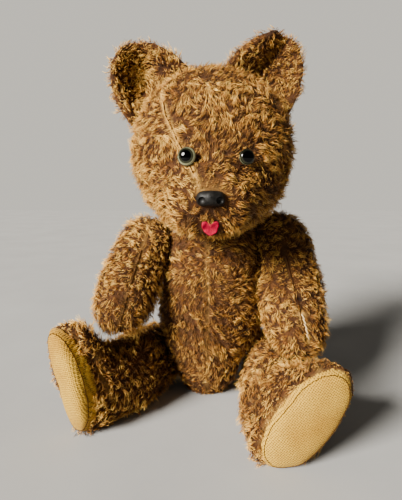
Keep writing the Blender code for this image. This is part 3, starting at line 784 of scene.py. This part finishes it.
def left_arm_fullness(at, out):
    """A heavy paw that hangs low, a full shoulder, and an inner side that fills out against the body."""
    paw = fade(at[:, 2], 70 * MM, 150 * MM)[:, None]
    tip = fade(at[:, 2], 68 * MM, 100 * MM)[:, None]
    shoulder = fade(-at[:, 2], -185 * MM, -150 * MM)[:, None]
    outer = (at_height(at, 148, 16, 40) * facing(out, 1))[:, None]
    inner = (at_height(at, 100, 26, 50) * facing(out, -1))[:, None]
    armpit = (at_height(at, 157, 12, 30) * facing(out, -1))[:, None]
    hung = 4.0 * paw * out + tip * np.array([0.5, -1.5, -4.5]) + shoulder * (3.2 * out + [1.0, 0.0, 4.0])
    return MM * (hung + (3.0 * outer + 4.5 * inner + 1.5 * armpit) * out)


def right_arm_fullness(at, out):
    """A paw that is a little heavier on its outer side."""
    return (5.6 * MM * fade(at[:, 2], 95 * MM, 145 * MM) * facing(out, -1))[:, None] * out


def right_leg_fullness(at, out):
    """Bulges forward low down and up at the instep, with a slim ankle and a foot drawn in round its sole."""
    low = fade(at[:, 2], 14 * MM, 44 * MM) * fade(-at[:, 1], 50 * MM, 100 * MM) * fade(-out[:, 0], 0.0, 0.5)
    along = unit(np.array(middle("right_leg_foot_pad")) - np.array(HUBS["right_leg"]))
    reach = (at - np.array(HUBS["right_leg"])) @ along
    ankle = fade(np.abs(reach - 92 * MM), 5 * MM, 27 * MM) * fade(-at[:, 2], -66 * MM, -50 * MM)
    foot = fade(-reach, -138 * MM, -112 * MM) * fade(out[:, 0], -0.75, -0.1)
    instep = fade(np.abs(reach - 119 * MM), 5 * MM, 18 * MM) * fade(-at[:, 2], -76 * MM, -60 * MM)
    return MM * (12.0 * low[:, None] * np.array([0.45, -0.9, 0.0])
                 + (6.5 * instep - 4.4 * ankle)[:, None] * UP - (3.5 * foot)[:, None] * out)


def left_leg_fullness(at, out):
    """The inner side of the foot bulges low down."""
    low = fade(at[:, 2], 14 * MM, 46 * MM) * fade(at[:, 1], -84 * MM, -46 * MM) * fade(out[:, 0], 0.0, 0.5)
    return 8.5 * MM * low[:, None] * np.array([-0.95, -0.3, 0.0])


FULLNESS = {
    "body": torso_fullness, "head": head_fullness, "left_arm": left_arm_fullness,
    "right_arm": right_arm_fullness, "right_leg": right_leg_fullness, "left_leg": left_leg_fullness,
}


def deepen_ear(side):
    """What presses the cup of an ear in from the front: the left all over, the right round its hollow."""
    low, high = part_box(f"ear_{side}_back")
    cup, half = np.array([(low.x + high.x) / 2, 0, (low.z + high.z) / 2]), (high.x - low.x) / 2

    def left_cup(at):
        return 11.0 * (1 - np.clip(np.hypot(at[:, 0] - cup[0], at[:, 2] - cup[2]) / half, 0, 1) ** 2)

    def right_cup(at):
        (x, z), (wide, high) = EAR_HOLLOWS[side]
        return 15.0 * (1 - np.clip(np.hypot((at[:, 0] - x) / wide, (at[:, 2] - z) / high) / 1.25, 0, 1) ** 2)

    def push(at, out):
        depth = left_cup(at) if side == "left" else right_cup(at)
        return (depth * MM)[:, None] * BACK

    return push


SKINS = {}
for body, panels in PANELS.items():
    children, sign = (HUBS, -1) if body == "body" else ([body], 1)
    plugs = [HUBS[child] + sign * OUTWARD[child] * 4.5 * MM for child in children]
    covers = [panel for panel in panels if "pad" not in panel]
    skin = soft_form(f"{body}_backing", covers + [f"{body}_filling"], grain=3.0, rounds=7, plugs=plugs)
    moved(skin, lambda at, out: out * 0.7 * MM * wander(at, 16 * MM, 5, 1))
    moved(skin, FULLNESS[body])
    stand(skin)
    SKINS[body] = skin
for side in ("left", "right"):
    skin = soft_form(f"ear_{side}_backing", [f"ear_{side}_back", f"ear_{side}_front"], grain=2.0, rounds=3)
    SKINS[f"ear_{side}"] = skin
    moved(skin, deepen_ear(side))
    moved(skin, lambda at, out: 1.2 * MM * out * [1, 0, 1])


def fold_ear(at, out):
    """The upper inner edge of the left ear rolls forward, with a deep crease beside it."""
    top, turn = EAR_CREASES["left"][0]
    crease = fade(from_segment(at * [1, 0, 1], top, turn), 1 * MM, 9 * MM)
    inwards = unit(np.array([[-0.72, 0, 0.70]]))[0]
    from_roll = np.abs((at - np.array(turn)) @ inwards - 0.013)
    roll = fade(from_roll, 2 * MM, 14 * MM) * (at[:, 2] > 0.325)
    return (8.0 * MM * crease - 5.5 * MM * roll)[:, None] * BACK


moved(SKINS["ear_left"], fold_ear)
for side in ("left", "right"):
    modified(SKINS[f"ear_{side}"], "SMOOTH", factor=0.5, iterations=2)


# How the pile lies, where it has worn, and where shade is painted into it


def worn_seam(seam, reach, least, tint):
    """Pile along a seam: what is left of its length, and how much paler it is."""
    near = fade(seam, 0.4 * MM, reach * MM)
    return 1 - (1 - least) * near, tint * near


def head_lay(at, way):
    """Away from the nose all round, then down and out over the cheeks."""
    from_nose = at - NOSE
    far = np.linalg.norm(from_nose, axis=1, keepdims=True)
    pull = np.clip(1.6 - far / (70 * MM), 0.15, 1.4)
    down = np.array([0.0, 0.15, -0.8])
    spread = np.stack([at[:, 0] * 4.0, np.zeros(len(at)), np.zeros(len(at))], axis=1)
    return from_nose / far * pull + down + spread


def head_wear_and_shade(at, way, seam, owner):
    """Bare along the right gusset seam and round the eyes, nose and tongue, short and pale on the muzzle.

    The crown is a little darker, and the whole side to the bear's left is darkened as painted shade.
    """
    bare = (at[:, 0] < 4 * MM) & (at[:, 1] < -20 * MM) & (at[:, 2] > NOSE[2] + 4 * MM)
    left, pale = worn_seam(seam, 1.6, 0.75, 0.08)
    near = fade(seam, 0.7 * MM, 3.2 * MM) * bare
    from_nose = far_from(at, NOSE)
    near = near * (1 - 0.45 * fade(from_nose, 14 * MM, 50 * MM))
    left, pale = left * (1 - 0.85 * near), pale + 0.45 * near - 0.26 * fade(-at[:, 2], -320 * MM, -296 * MM)
    muzzle = fade(from_nose, 12 * MM, 46 * MM) * (at[:, 2] > NOSE[2] - 4 * MM)
    bridge = fade(from_segment(at, *BRIDGE), 4 * MM, 17 * MM)
    left = left * (1 - 0.14 * muzzle) * (1 - 0.18 * bridge)
    pale = pale + 0.14 * muzzle + 0.28 * bridge
    for side, clear in (("left", 7.6 * MM), ("right", 8.8 * MM)):
        far = far_from(at, EYES[side])
        left = left * np.where(far < clear, 0, 1 - 0.55 * fade(far, 9 * MM, 18 * MM))
    hard = gaps(at, [TREES["nose"], TREES["tongue"]])
    for i, clear, short in ((0, 1.4 * MM, 0.35), (1, 2.0 * MM, 0.65)):
        left = left * np.where(hard[:, i] < clear, 0, 1) * (1 - short * fade(hard[:, i], 2 * MM, 8 * MM))
    # Painted shade: darker towards the bear's left side
    return left, pale + 0.08 - 0.24 * fade(-at[:, 0], -62 * MM, -22 * MM), 0.25 + 1.1 * bare


def ear_lay(side):
    """Outwards from the foot of the ear, and a little down on its front."""
    low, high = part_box(f"ear_{side}_back")
    base = np.array([(low.x + high.x) / 2 * 0.85, 0, low.z])

    def lay(at, way):
        front = (way[:, 1:2] < 0).astype(float)
        out = unit(at - base)
        return out * (1 - 0.25 * front) + front * np.array([0, 0, -0.2])

    return lay


def ear_wear_and_shade(side):
    """Short in the hollow and the creases of the front, which are darkened as painted shade. The right ear is
    painted paler all over, as painted light.
    """

    def wear_and_shade(at, way, seam, owner):
        (x, z), (wide, high) = EAR_HOLLOWS[side]
        hollow = (owner == 1) * fade(np.hypot((at[:, 0] - x) / wide, (at[:, 2] - z) / high), 0.6, 1.25)
        left = 1.0 - 0.55 * hollow
        # Painted shade in the hollow and creases, and painted light on the right ear
        pale = (0.34 if side == "right" else -0.04) - 1.4 * hollow
        for start, end in EAR_CREASES[side]:
            deep = fade(from_segment(at * [1, 0, 1], start, end), 1.5 * MM, 7 * MM) * (owner == 1)
            left, pale = left * (1 - 0.55 * deep), pale - 0.85 * deep
        return left, pale, 0 * left

    return wear_and_shade


def body_lay(at, way):
    """Down, and away from the belly seam in front."""
    seam_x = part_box("body_panel_left")[0].x
    apart = np.where(at[:, 0] > seam_x, 1.0, -1.0)
    front = (way[:, 1] < 0).astype(float)
    return np.stack([0.45 * apart * front, -0.1 + 0 * apart, -0.9 + 0 * apart], axis=1)


def near_hub(at, child):
    """Distances of points from a joint: across its axis, and outwards along it."""
    off = at - np.array(HUBS[child])
    along = off @ np.array(OUTWARD[child])
    return np.linalg.norm(off - along[:, None] * np.array(OUTWARD[child]), axis=1), along


def body_wear_and_shade(at, way, seam, owner):
    """Short under the seat and round the joints, darker all over, and darker towards the bear's right as
    painted shade.
    """
    left, pale = worn_seam(seam, 1.5, 0.7, 0.06)
    left = left * (1 - 0.6 * fade(at[:, 2], 1 * MM, 14 * MM))
    left = left * (0.92 - 0.17 * fade(at[:, 2], 40 * MM, 75 * MM))
    for child in HUBS:
        across, along = near_hub(at, child)
        left = left * (1 - 0.75 * fade(across, 14 * MM, 26 * MM) * fade(np.abs(along), 8 * MM, 16 * MM))
    # Painted shade: darker towards the bear's right side
    return left, pale - 0.26 - 0.24 * fade(at[:, 0], -25 * MM, 15 * MM), np.full(len(at), 0.45)


def limb_lay(limb):
    """Along the limb to its paw or sole, and down."""
    low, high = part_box(f"{limb}_filling")
    if "arm" in limb:
        tip = np.array([(low.x + high.x) / 2, low.y, low.z])
    else:
        tip = np.array(middle(f"{limb}_foot_pad"))
    along = unit(tip - np.array(HUBS[limb]))

    def lay(at, way):
        return along[None] * 0.7 + np.array([0, 0, -0.45])

    return lay


def limb_wear_and_shade(limb):
    """Short at the seams, the joint and the sole, with the left arm's moth hole, cut and bare seam. The pile
    round the moth hole is darkened as painted shade.
    """

    def wear_and_shade(at, way, seam, owner):
        left, pale = worn_seam(seam, 3.0, 0.04, -0.15) if "arm" in limb else worn_seam(seam, 1.5, 0.5, 0.05)
        across, along = near_hub(at, limb)
        left = left * (1 - 0.8 * fade(across, 14 * MM, 26 * MM) * fade(along, 3 * MM, 9 * MM))
        if "leg" in limb:
            _, pad = nearest(at, TREES[f"{limb}_foot_pad"])
            beyond = (at[:, 0] - middle(f"{limb}_foot_pad").x) * (-1 if limb == "right_leg" else 1)
            full, none = (-4 * MM, 8 * MM) if limb == "right_leg" else (-18 * MM, -4 * MM)
            outer = fade(-beyond, full, none)
            left = left * (1 - (0.15 + 0.33 * outer) * fade(pad, 3 * MM, 9 * MM))
            left = left * (1 - 0.3 * fade(pad, 0, 3 * MM))
            left = left * (1 - 0.65 * outer * fade(pad, 6 * MM, 30 * MM))
        combed = np.full(len(at), 2.2 if "arm" in limb else 0.5)
        if limb == "right_leg":
            inner = (seam > pad + 2.1 * MM) * (1 - outer)
            combed = combed - 3.4 * inner
            left = left * (1 + 0.45 * inner)
        pale = pale + {"left_arm": 0.26, "left_leg": -0.10}.get(limb, 0.0)
        if limb == "left_arm":
            high_in_front = fade(-at[:, 2], -124 * MM, -114 * MM) * (way[:, 1] < 0.3)
            bald = fade(seam, 1.7 * MM, 5.5 * MM) * high_in_front
            far = far_from(at, MOTH_HOLE)
            cut = fade(from_segment(at, *CUT), 2.6 * MM, 6.0 * MM)
            left = left * (1 - fade(far, 3.4 * MM, 7.0 * MM)) * (1 - 0.85 * cut) * (1 - 0.95 * bald)
            # Painted shade round the moth hole
            pale = pale + 0.5 * cut - 1.3 * fade(far, 5 * MM, 9 * MM)
        return left, pale, combed

    return wear_and_shade


# Locks to the square millimetre
PER_MM2 = 0.47

for order, (body, panels) in enumerate(PANELS.items()):
    skin = SKINS[body]
    settle(skin, body, BACKING, [p for p in panels if "pad" not in p])
    lay = {"body": body_lay, "head": head_lay}.get(body) or limb_lay(body)
    wear_and_shade = {"body": body_wear_and_shade, "head": head_wear_and_shade}.get(body) or limb_wear_and_shade(body)
    set_pile(f"{body}_pile", body, skin, panels, lay, wear_and_shade, PER_MM2, seed=10 * order + 1,
             swirls=WHIRLS.get(body, []))
    points = corners_of(skin)
    seam = np.sort(gaps(points, [TREES[panel] for panel in panels]), axis=1)[:, 1]
    worn = 0.25 * fade(seam, 0.5 * MM, 3.5 * MM)
    if body == "head":
        above = points[:, 2] > NOSE[2] + 2 * MM
        worn = np.maximum(fade(seam, 0.5 * MM, 3.5 * MM) * (points[:, 0] < 4 * MM) * above,
                          0.15 * fade(far_from(points, NOSE), 8 * MM, 20 * MM) * above)
    if body == "left_arm":
        worn = np.maximum(worn * 0.3, fade(from_segment(points, *CUT), 2 * MM, 5 * MM))
        # Painted shade: the backing is black in the moth hole
        mark(skin, "hole_shade", fade(far_from(points, MOTH_HOLE), 2.2 * MM, 5 * MM))
    mark(skin, "worn", worn)
for order, side in enumerate(("left", "right")):
    skin = SKINS[f"ear_{side}"]
    panels = [f"ear_{side}_back", f"ear_{side}_front"]
    settle(skin, "head", BACKING, panels)
    set_pile(f"ear_{side}_pile", "head", skin, panels, ear_lay(side), ear_wear_and_shade(side), PER_MM2,
             seed=80 + 10 * order, long=8.2, tuft=3.3)


# Seams, sewn with dark thread, and the cut, closed with pale thread


def seam_line(first, second, centre, start, end):
    """Where two covers meet, as places round a line across the bear, by the angle from the front upwards.

    Start and end are in degrees, and there is a place every 1.5 degrees.
    """
    at = corners_of(cad[first])
    at = at[gaps(at, [TREES[second]])[:, 0] < 0.5 * MM] - np.array(centre)
    angle = np.degrees(np.arctan2(at[:, 2], -at[:, 1]))
    angle = np.where(angle < -120, angle + 360, angle)
    far = np.hypot(at[:, 1], at[:, 2])
    bins = np.round(angle / 4).astype(int)
    outer = np.array([i for i in range(len(at)) if far[i] > far[bins == bins[i]].max() - 1 * MM])
    outer = outer[np.argsort(angle[outer])]
    turns = np.arange(start, end, 1.5)
    x = np.interp(turns, angle[outer], at[outer, 0])
    out = np.interp(turns, angle[outer], far[outer])
    turns = np.radians(turns)
    return np.stack([x, -np.cos(turns) * out, np.sin(turns) * out], axis=1) + np.array(centre)


SKIN_TREES = {name: tree_of(skin) for name, skin in SKINS.items()}
head_middle, body_middle = middle("head_filling"), middle("body_filling")
for side in ("right", "left"):
    line = seam_line(f"head_panel_{side}", "head_gusset", head_middle, -17, 62)
    sewn(f"gusset_seam_{side}", "head", SKIN_TREES["head"], line, DARK_THREAD, length=2.6, radius=0.5,
         pitch=2.5, lift=0.8)
line = seam_line("body_panel_right", "body_panel_left", body_middle, -75, 80)
sewn("belly_seam", "body", SKIN_TREES["body"], line, DARK_THREAD, length=2.6, radius=0.3, pitch=3.0)
for limb in ("left_arm", "right_arm"):
    at = middle(f"{limb}_filling")
    line = seam_line(f"{limb}_panel_outer", f"{limb}_panel_inner", at, -60, 75)
    sewn(f"{limb}_seam", limb, SKIN_TREES[limb], line, DARK_THREAD, length=2.9, radius=0.5, pitch=2.7,
         lift=0.6)
cut_line = np.linspace(*np.array(CUT), 12)
sewn("left_arm_cut_closing", "left_arm", SKIN_TREES["left_arm"], cut_line, PALE_THREAD, length=6.2,
     radius=0.65, pitch=4.4, turn=17, lift=1.4)
sewn("left_arm_cut_edge", "left_arm", SKIN_TREES["left_arm"], cut_line, DARK_THREAD, length=3.0,
     radius=0.35, pitch=2.9)


# Foot pads: cotton over a little stuffing, sewn in with dark thread just inside their edge

# Of each sole: how many millimetres it crowns, is pinched at its waist and spreads low down, and by what
# share it crowns more low down. The waist is given by its turn round the sole, in degrees
SOLES = {"left_leg": (4.2, 1.2, 2.2, 0.7), "right_leg": (6.0, 2.6, 0.0, 0.0)}
SOLE_WAIST = 86
THREAD_PITCH = 1.65 * MM


def make_pad(limb):
    """A sole, crowned over its stuffing and tucked in at its rim, with its weave and its ring of stitches."""
    name = f"{limb}_foot_pad"
    rise, pinch, low_spread, low_crown = SOLES[limb]
    pad = soft_form(f"{limb}_sole", [name], grain=1.2, rounds=4)
    at = corners_of(pad)
    centre = (at.min(0) + at.max(0)) / 2
    _, _, axes = np.linalg.svd(at - at.mean(0), full_matrices=False)
    out = axes[2] * np.sign(axes[2] @ (centre - np.array(HUBS[limb])))
    long = axes[0] * np.sign(axes[0][2])
    wide = np.cross(out, long)
    u, v, high = (at - centre) @ long, (at - centre) @ wide, (at - centre) @ out
    angle, far = np.degrees(np.arctan2(v, u)), np.hypot(u, v)
    steps = np.arange(-180, 181, 5)
    rim = np.array([far[np.abs((angle - step + 180) % 360 - 180) < 4].max() for step in steps])
    rim = (rim + np.roll(rim, 1) + np.roll(rim, -1)) / 3

    def drawn_in(turns):
        return pinch * MM * np.exp(-((turns - SOLE_WAIST) / 24) ** 2)

    share = far / np.interp(angle, steps, rim)
    low = fade(at[:, 2], 8 * MM, 45 * MM)
    outer = np.clip(high / (0.5 * MM) + 0.5, 0, 1)
    crown = rise * MM * (1 - np.clip(share, 0, 1) ** 2.6) * outer * (1 + low_crown * low)
    tuck = 2.6 * MM * fade(-share, -1.0, -0.86) ** 2
    grow = (0.6 + low_spread * low) * MM * np.clip(share, 0, 1)
    spread = unit(u[:, None] * long + v[:, None] * wide)
    waist = drawn_in(angle) * np.clip(share, 0, 1) ** 2
    at = at + (crown - tuck)[:, None] * out + (grow - waist)[:, None] * spread
    pad.data.vertices.foreach_set("co", at.astype(np.float32).ravel())
    pad.data.update()
    modified(pad, "SMOOTH", factor=0.5, iterations=4)
    stand(pad)
    mark(pad, "edge", fade(-share, -1.01, -0.975) * 0.7)
    flat = pad.data.uv_layers.new(name="Threads")
    corner = read(pad.data.loops, "vertex_index", 1, np.int32)
    flat.data.foreach_set("uv", (np.stack([u, v], axis=1) / THREAD_PITCH)[corner].astype(np.float32).ravel())
    settle(pad, limb, PAD_COTTON, [name])
    turns = np.arange(-180, 181, 3)
    edge = (np.interp(turns, steps, rim) - 2.0 * MM - drawn_in(turns))[:, None]
    turns = np.radians(turns)[:, None]
    ring = centre + edge * (np.cos(turns) * long + np.sin(turns) * wide) + 4 * MM * out
    sewn(f"{limb}_sole_seam", limb, tree_of(pad), ring, DARK_THREAD, length=2.6, radius=0.42, pitch=2.7)


for limb in ("left_leg", "right_leg"):
    make_pad(limb)


# The face

# Of each eye: how much of the CAD eye's radius it has, and how far out its painted rings run. The left eye's
# rings are cut short, which leaves out most of its pale rim as painted shade from the brow
EYE_LOOKS = {"left": (0.80, 0.80), "right": (0.95, 1.0)}

# How high an eye's dome stands for its radius
DOME_RISE = 0.62

NOSE_DEPTH, NOSE_ROUNDING = 11.5 * MM, 5.4 * MM
NOSTRIL_RADIUS = 3.0 * MM

# How far a nostril is from the middle of the nose: to one side, forward and down
NOSTRIL_SIDE, NOSTRIL_FRONT, NOSTRIL_LOW = 7.0 * MM, -4.8 * MM, -2.5 * MM


def make_eye(side):
    """A domed glass eye, its rings painted from the middle outwards."""
    size, shown = EYE_LOOKS[side]
    at = middle(f"eye_{side}")
    out = (at - middle(f"eye_{side}_shank")).normalized()
    out = (out + 0.9 * Vector((0, -1, -0.05))).normalized()
    low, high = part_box(f"eye_{side}")
    radius = (high.z - low.z) / 2 * size
    start_afresh()
    bpy.ops.mesh.primitive_uv_sphere_add(segments=40, ring_count=24, radius=radius)
    eye = bpy.context.active_object
    eye.name = eye.data.name = f"glass_eye_{side}"
    bpy.ops.object.mode_set(mode="EDIT")
    bpy.ops.mesh.select_all(action="SELECT")
    bpy.ops.mesh.bisect(plane_co=(0, 0, -0.1 * radius), plane_no=(0, 0, 1), clear_inner=True, use_fill=True)
    bpy.ops.mesh.select_all(action="SELECT")
    bpy.ops.transform.resize(value=(1, 1, DOME_RISE))
    bpy.ops.object.mode_set(mode="OBJECT")
    place = read(eye.data.vertices, "co", 3)
    corner = read(eye.data.loops, "vertex_index", 1, np.int32)
    far, turn = np.hypot(place[:, 0], place[:, 1]), np.arctan2(place[:, 1], place[:, 0])
    ring = np.stack([far / radius * shown, turn], axis=1)
    eye.data.uv_layers.new(name="Rings").data.foreach_set("uv", ring[corner].astype(np.float32).ravel())
    modified(eye, "BEVEL", width=0.35 * MM, segments=2, limit_method="ANGLE", angle_limit=math.radians(50))
    eye.data.shade_smooth()
    eye.matrix_world = out.to_track_quat("Z", "Y").to_matrix().to_4x4()
    eye.location = at - out * 0.18 * radius
    only(eye)
    bpy.ops.object.transform_apply()
    settle(eye, "head", EYE_GLASS, [f"eye_{side}"])


def make_nose():
    """A moulded nose: a rounded block, bent round the muzzle, with two nostrils and a low ridge between."""
    low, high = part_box("nose")
    place, size = (low + high) / 2, high - low
    bpy.ops.object.select_all(action="DESELECT")
    bpy.ops.mesh.primitive_cube_add(size=1)
    nose = bpy.context.active_object
    nose.name = nose.data.name = "moulded_nose"
    bpy.ops.transform.resize(value=(size.x * 1.06, NOSE_DEPTH, size.z * 0.92))
    bpy.ops.object.transform_apply()
    modified(nose, "BEVEL", width=NOSE_ROUNDING, segments=4)
    modified(nose, "SUBSURF", levels=2, render_levels=2)
    for side in (-1, 1):
        bpy.ops.object.select_all(action="DESELECT")
        bpy.ops.mesh.primitive_uv_sphere_add(
            segments=20, ring_count=12, radius=NOSTRIL_RADIUS,
            location=(side * NOSTRIL_SIDE, NOSTRIL_FRONT, NOSTRIL_LOW))
        drill = bpy.context.active_object
        bpy.ops.transform.resize(value=(1.0, 0.9, 1.05))
        bpy.ops.object.transform_apply()
        modified(nose, "BOOLEAN", operation="DIFFERENCE", object=drill)
        bpy.data.objects.remove(drill)

    def shape(at, out):
        ridge = -0.9 * MM * np.exp(-(at[:, 0] / (2.2 * MM)) ** 2) * (at[:, 1] < 0)
        return (ridge + 18.0 * at[:, 0] ** 2)[:, None] * BACK

    moved(nose, shape)
    nose.rotation_euler = (math.radians(-12), 0, 0)
    nose.location = (place.x, low.y + 6.0 * MM, place.z)
    only(nose)
    bpy.ops.object.transform_apply()
    bpy.ops.object.shade_smooth_by_angle(angle=math.radians(50))
    settle(nose, "head", NOSE_PLASTIC, ["nose"])


def make_tongue():
    """A scrap of felt, notched at the top and curling forward at its tip."""
    tongue = soft_form("felt_tongue", ["tongue"], grain=0.55, rounds=2)
    low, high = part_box("tongue")
    centre, half = (low.x + high.x) / 2, (high.x - low.x) / 2

    def shape(at, out):
        upper = fade(-at[:, 2], -high.z, -high.z + 6 * MM)
        notch = np.exp(-((at[:, 0] - centre) / (1.7 * MM)) ** 2)
        curl = fade(at[:, 2], low.z, low.z + 7 * MM) ** 2
        across = (at[:, 0] - centre) / half
        return np.stack([
            (0.6 * upper - 1.5 * curl) * MM * across + 0.2 * MM * wander(at, 1.6 * MM, 3, 1)[:, 0],
            -1.8 * MM * curl - 1.2 * MM * upper + 0.2 * MM * wander(at, 2 * MM, 4, 1)[:, 0],
            (upper * (0.8 - 1.5 * notch) - 1.1 * curl * (1 - np.abs(across).clip(0, 1))) * MM
            + 0.2 * MM * wander(at, 1.5 * MM, 6, 1)[:, 0]], axis=1)

    moved(tongue, shape)
    settle(tongue, "head", FELT, ["tongue"])


for side in ("left", "right"):
    make_eye(side)
make_nose()
make_tongue()


# Floor, light and camera

ROOM_LIGHT, ROOM_STRENGTH = (1.0, 0.94, 0.84, 1), 0.145
BACKDROP, BACKDROP_STRENGTH = (0.84, 0.80, 0.71, 1), 0.88
WINDOW_AT = (-0.70, -0.60, 0.41)
WINDOW_SPREAD = 22
DAYLIGHT, DAYLIGHT_STRENGTH = (1.0, 0.955, 0.87), 16.6
CAMERA_AT = (-0.0083, -0.440, 0.2228)
CAMERA_TILT = 81.5

bpy.ops.object.select_all(action="DESELECT")
bpy.ops.mesh.primitive_plane_add(size=8)
floor = bpy.context.active_object
floor.name = "floor"
FLOOR_PAPER = mottled("floor_paper", (0.310, 0.307, 0.300, 1), (0.340, 0.337, 0.330, 1), scale=6.0,
                      roughness=(0.8, 0.9), depth=0.0)
floor.data.materials.append(FLOOR_PAPER)

world = bpy.data.worlds.new("studio")
bpy.context.scene.world = world
world.use_nodes = True
sky = world.node_tree
room = sky.nodes["Background"]
room.inputs["Color"].default_value = ROOM_LIGHT
room.inputs["Strength"].default_value = ROOM_STRENGTH
seen = node(sky, "ShaderNodeBackground", {"Color": BACKDROP, "Strength": BACKDROP_STRENGTH})
ray = node(sky, "ShaderNodeLightPath").outputs["Is Camera Ray"]
shown = node(sky, "ShaderNodeMixShader", {"Fac": ray})
sky.links.new(room.outputs[0], shown.inputs[1])
sky.links.new(seen.outputs[0], shown.inputs[2])
sky.links.new(shown.outputs[0], sky.nodes["World Output"].inputs["Surface"])

# Daylight from one side, its shadows softened by its spread
bpy.ops.object.light_add(type="SUN", location=WINDOW_AT)
window = bpy.context.active_object
window.name = "window"
window.data.angle = math.radians(WINDOW_SPREAD)
window.data.energy = DAYLIGHT_STRENGTH
window.data.color = DAYLIGHT
window.rotation_euler = Vector(WINDOW_AT).to_track_quat("Z", "Y").to_euler()

bpy.ops.object.camera_add(location=CAMERA_AT, rotation=(math.radians(CAMERA_TILT), 0, 0))
camera = bpy.context.active_object
camera.data.lens = 29
camera.data.sensor_width = 36
camera.data.sensor_fit = "AUTO"
camera.data.clip_start = 0.01
bpy.context.scene.camera = camera
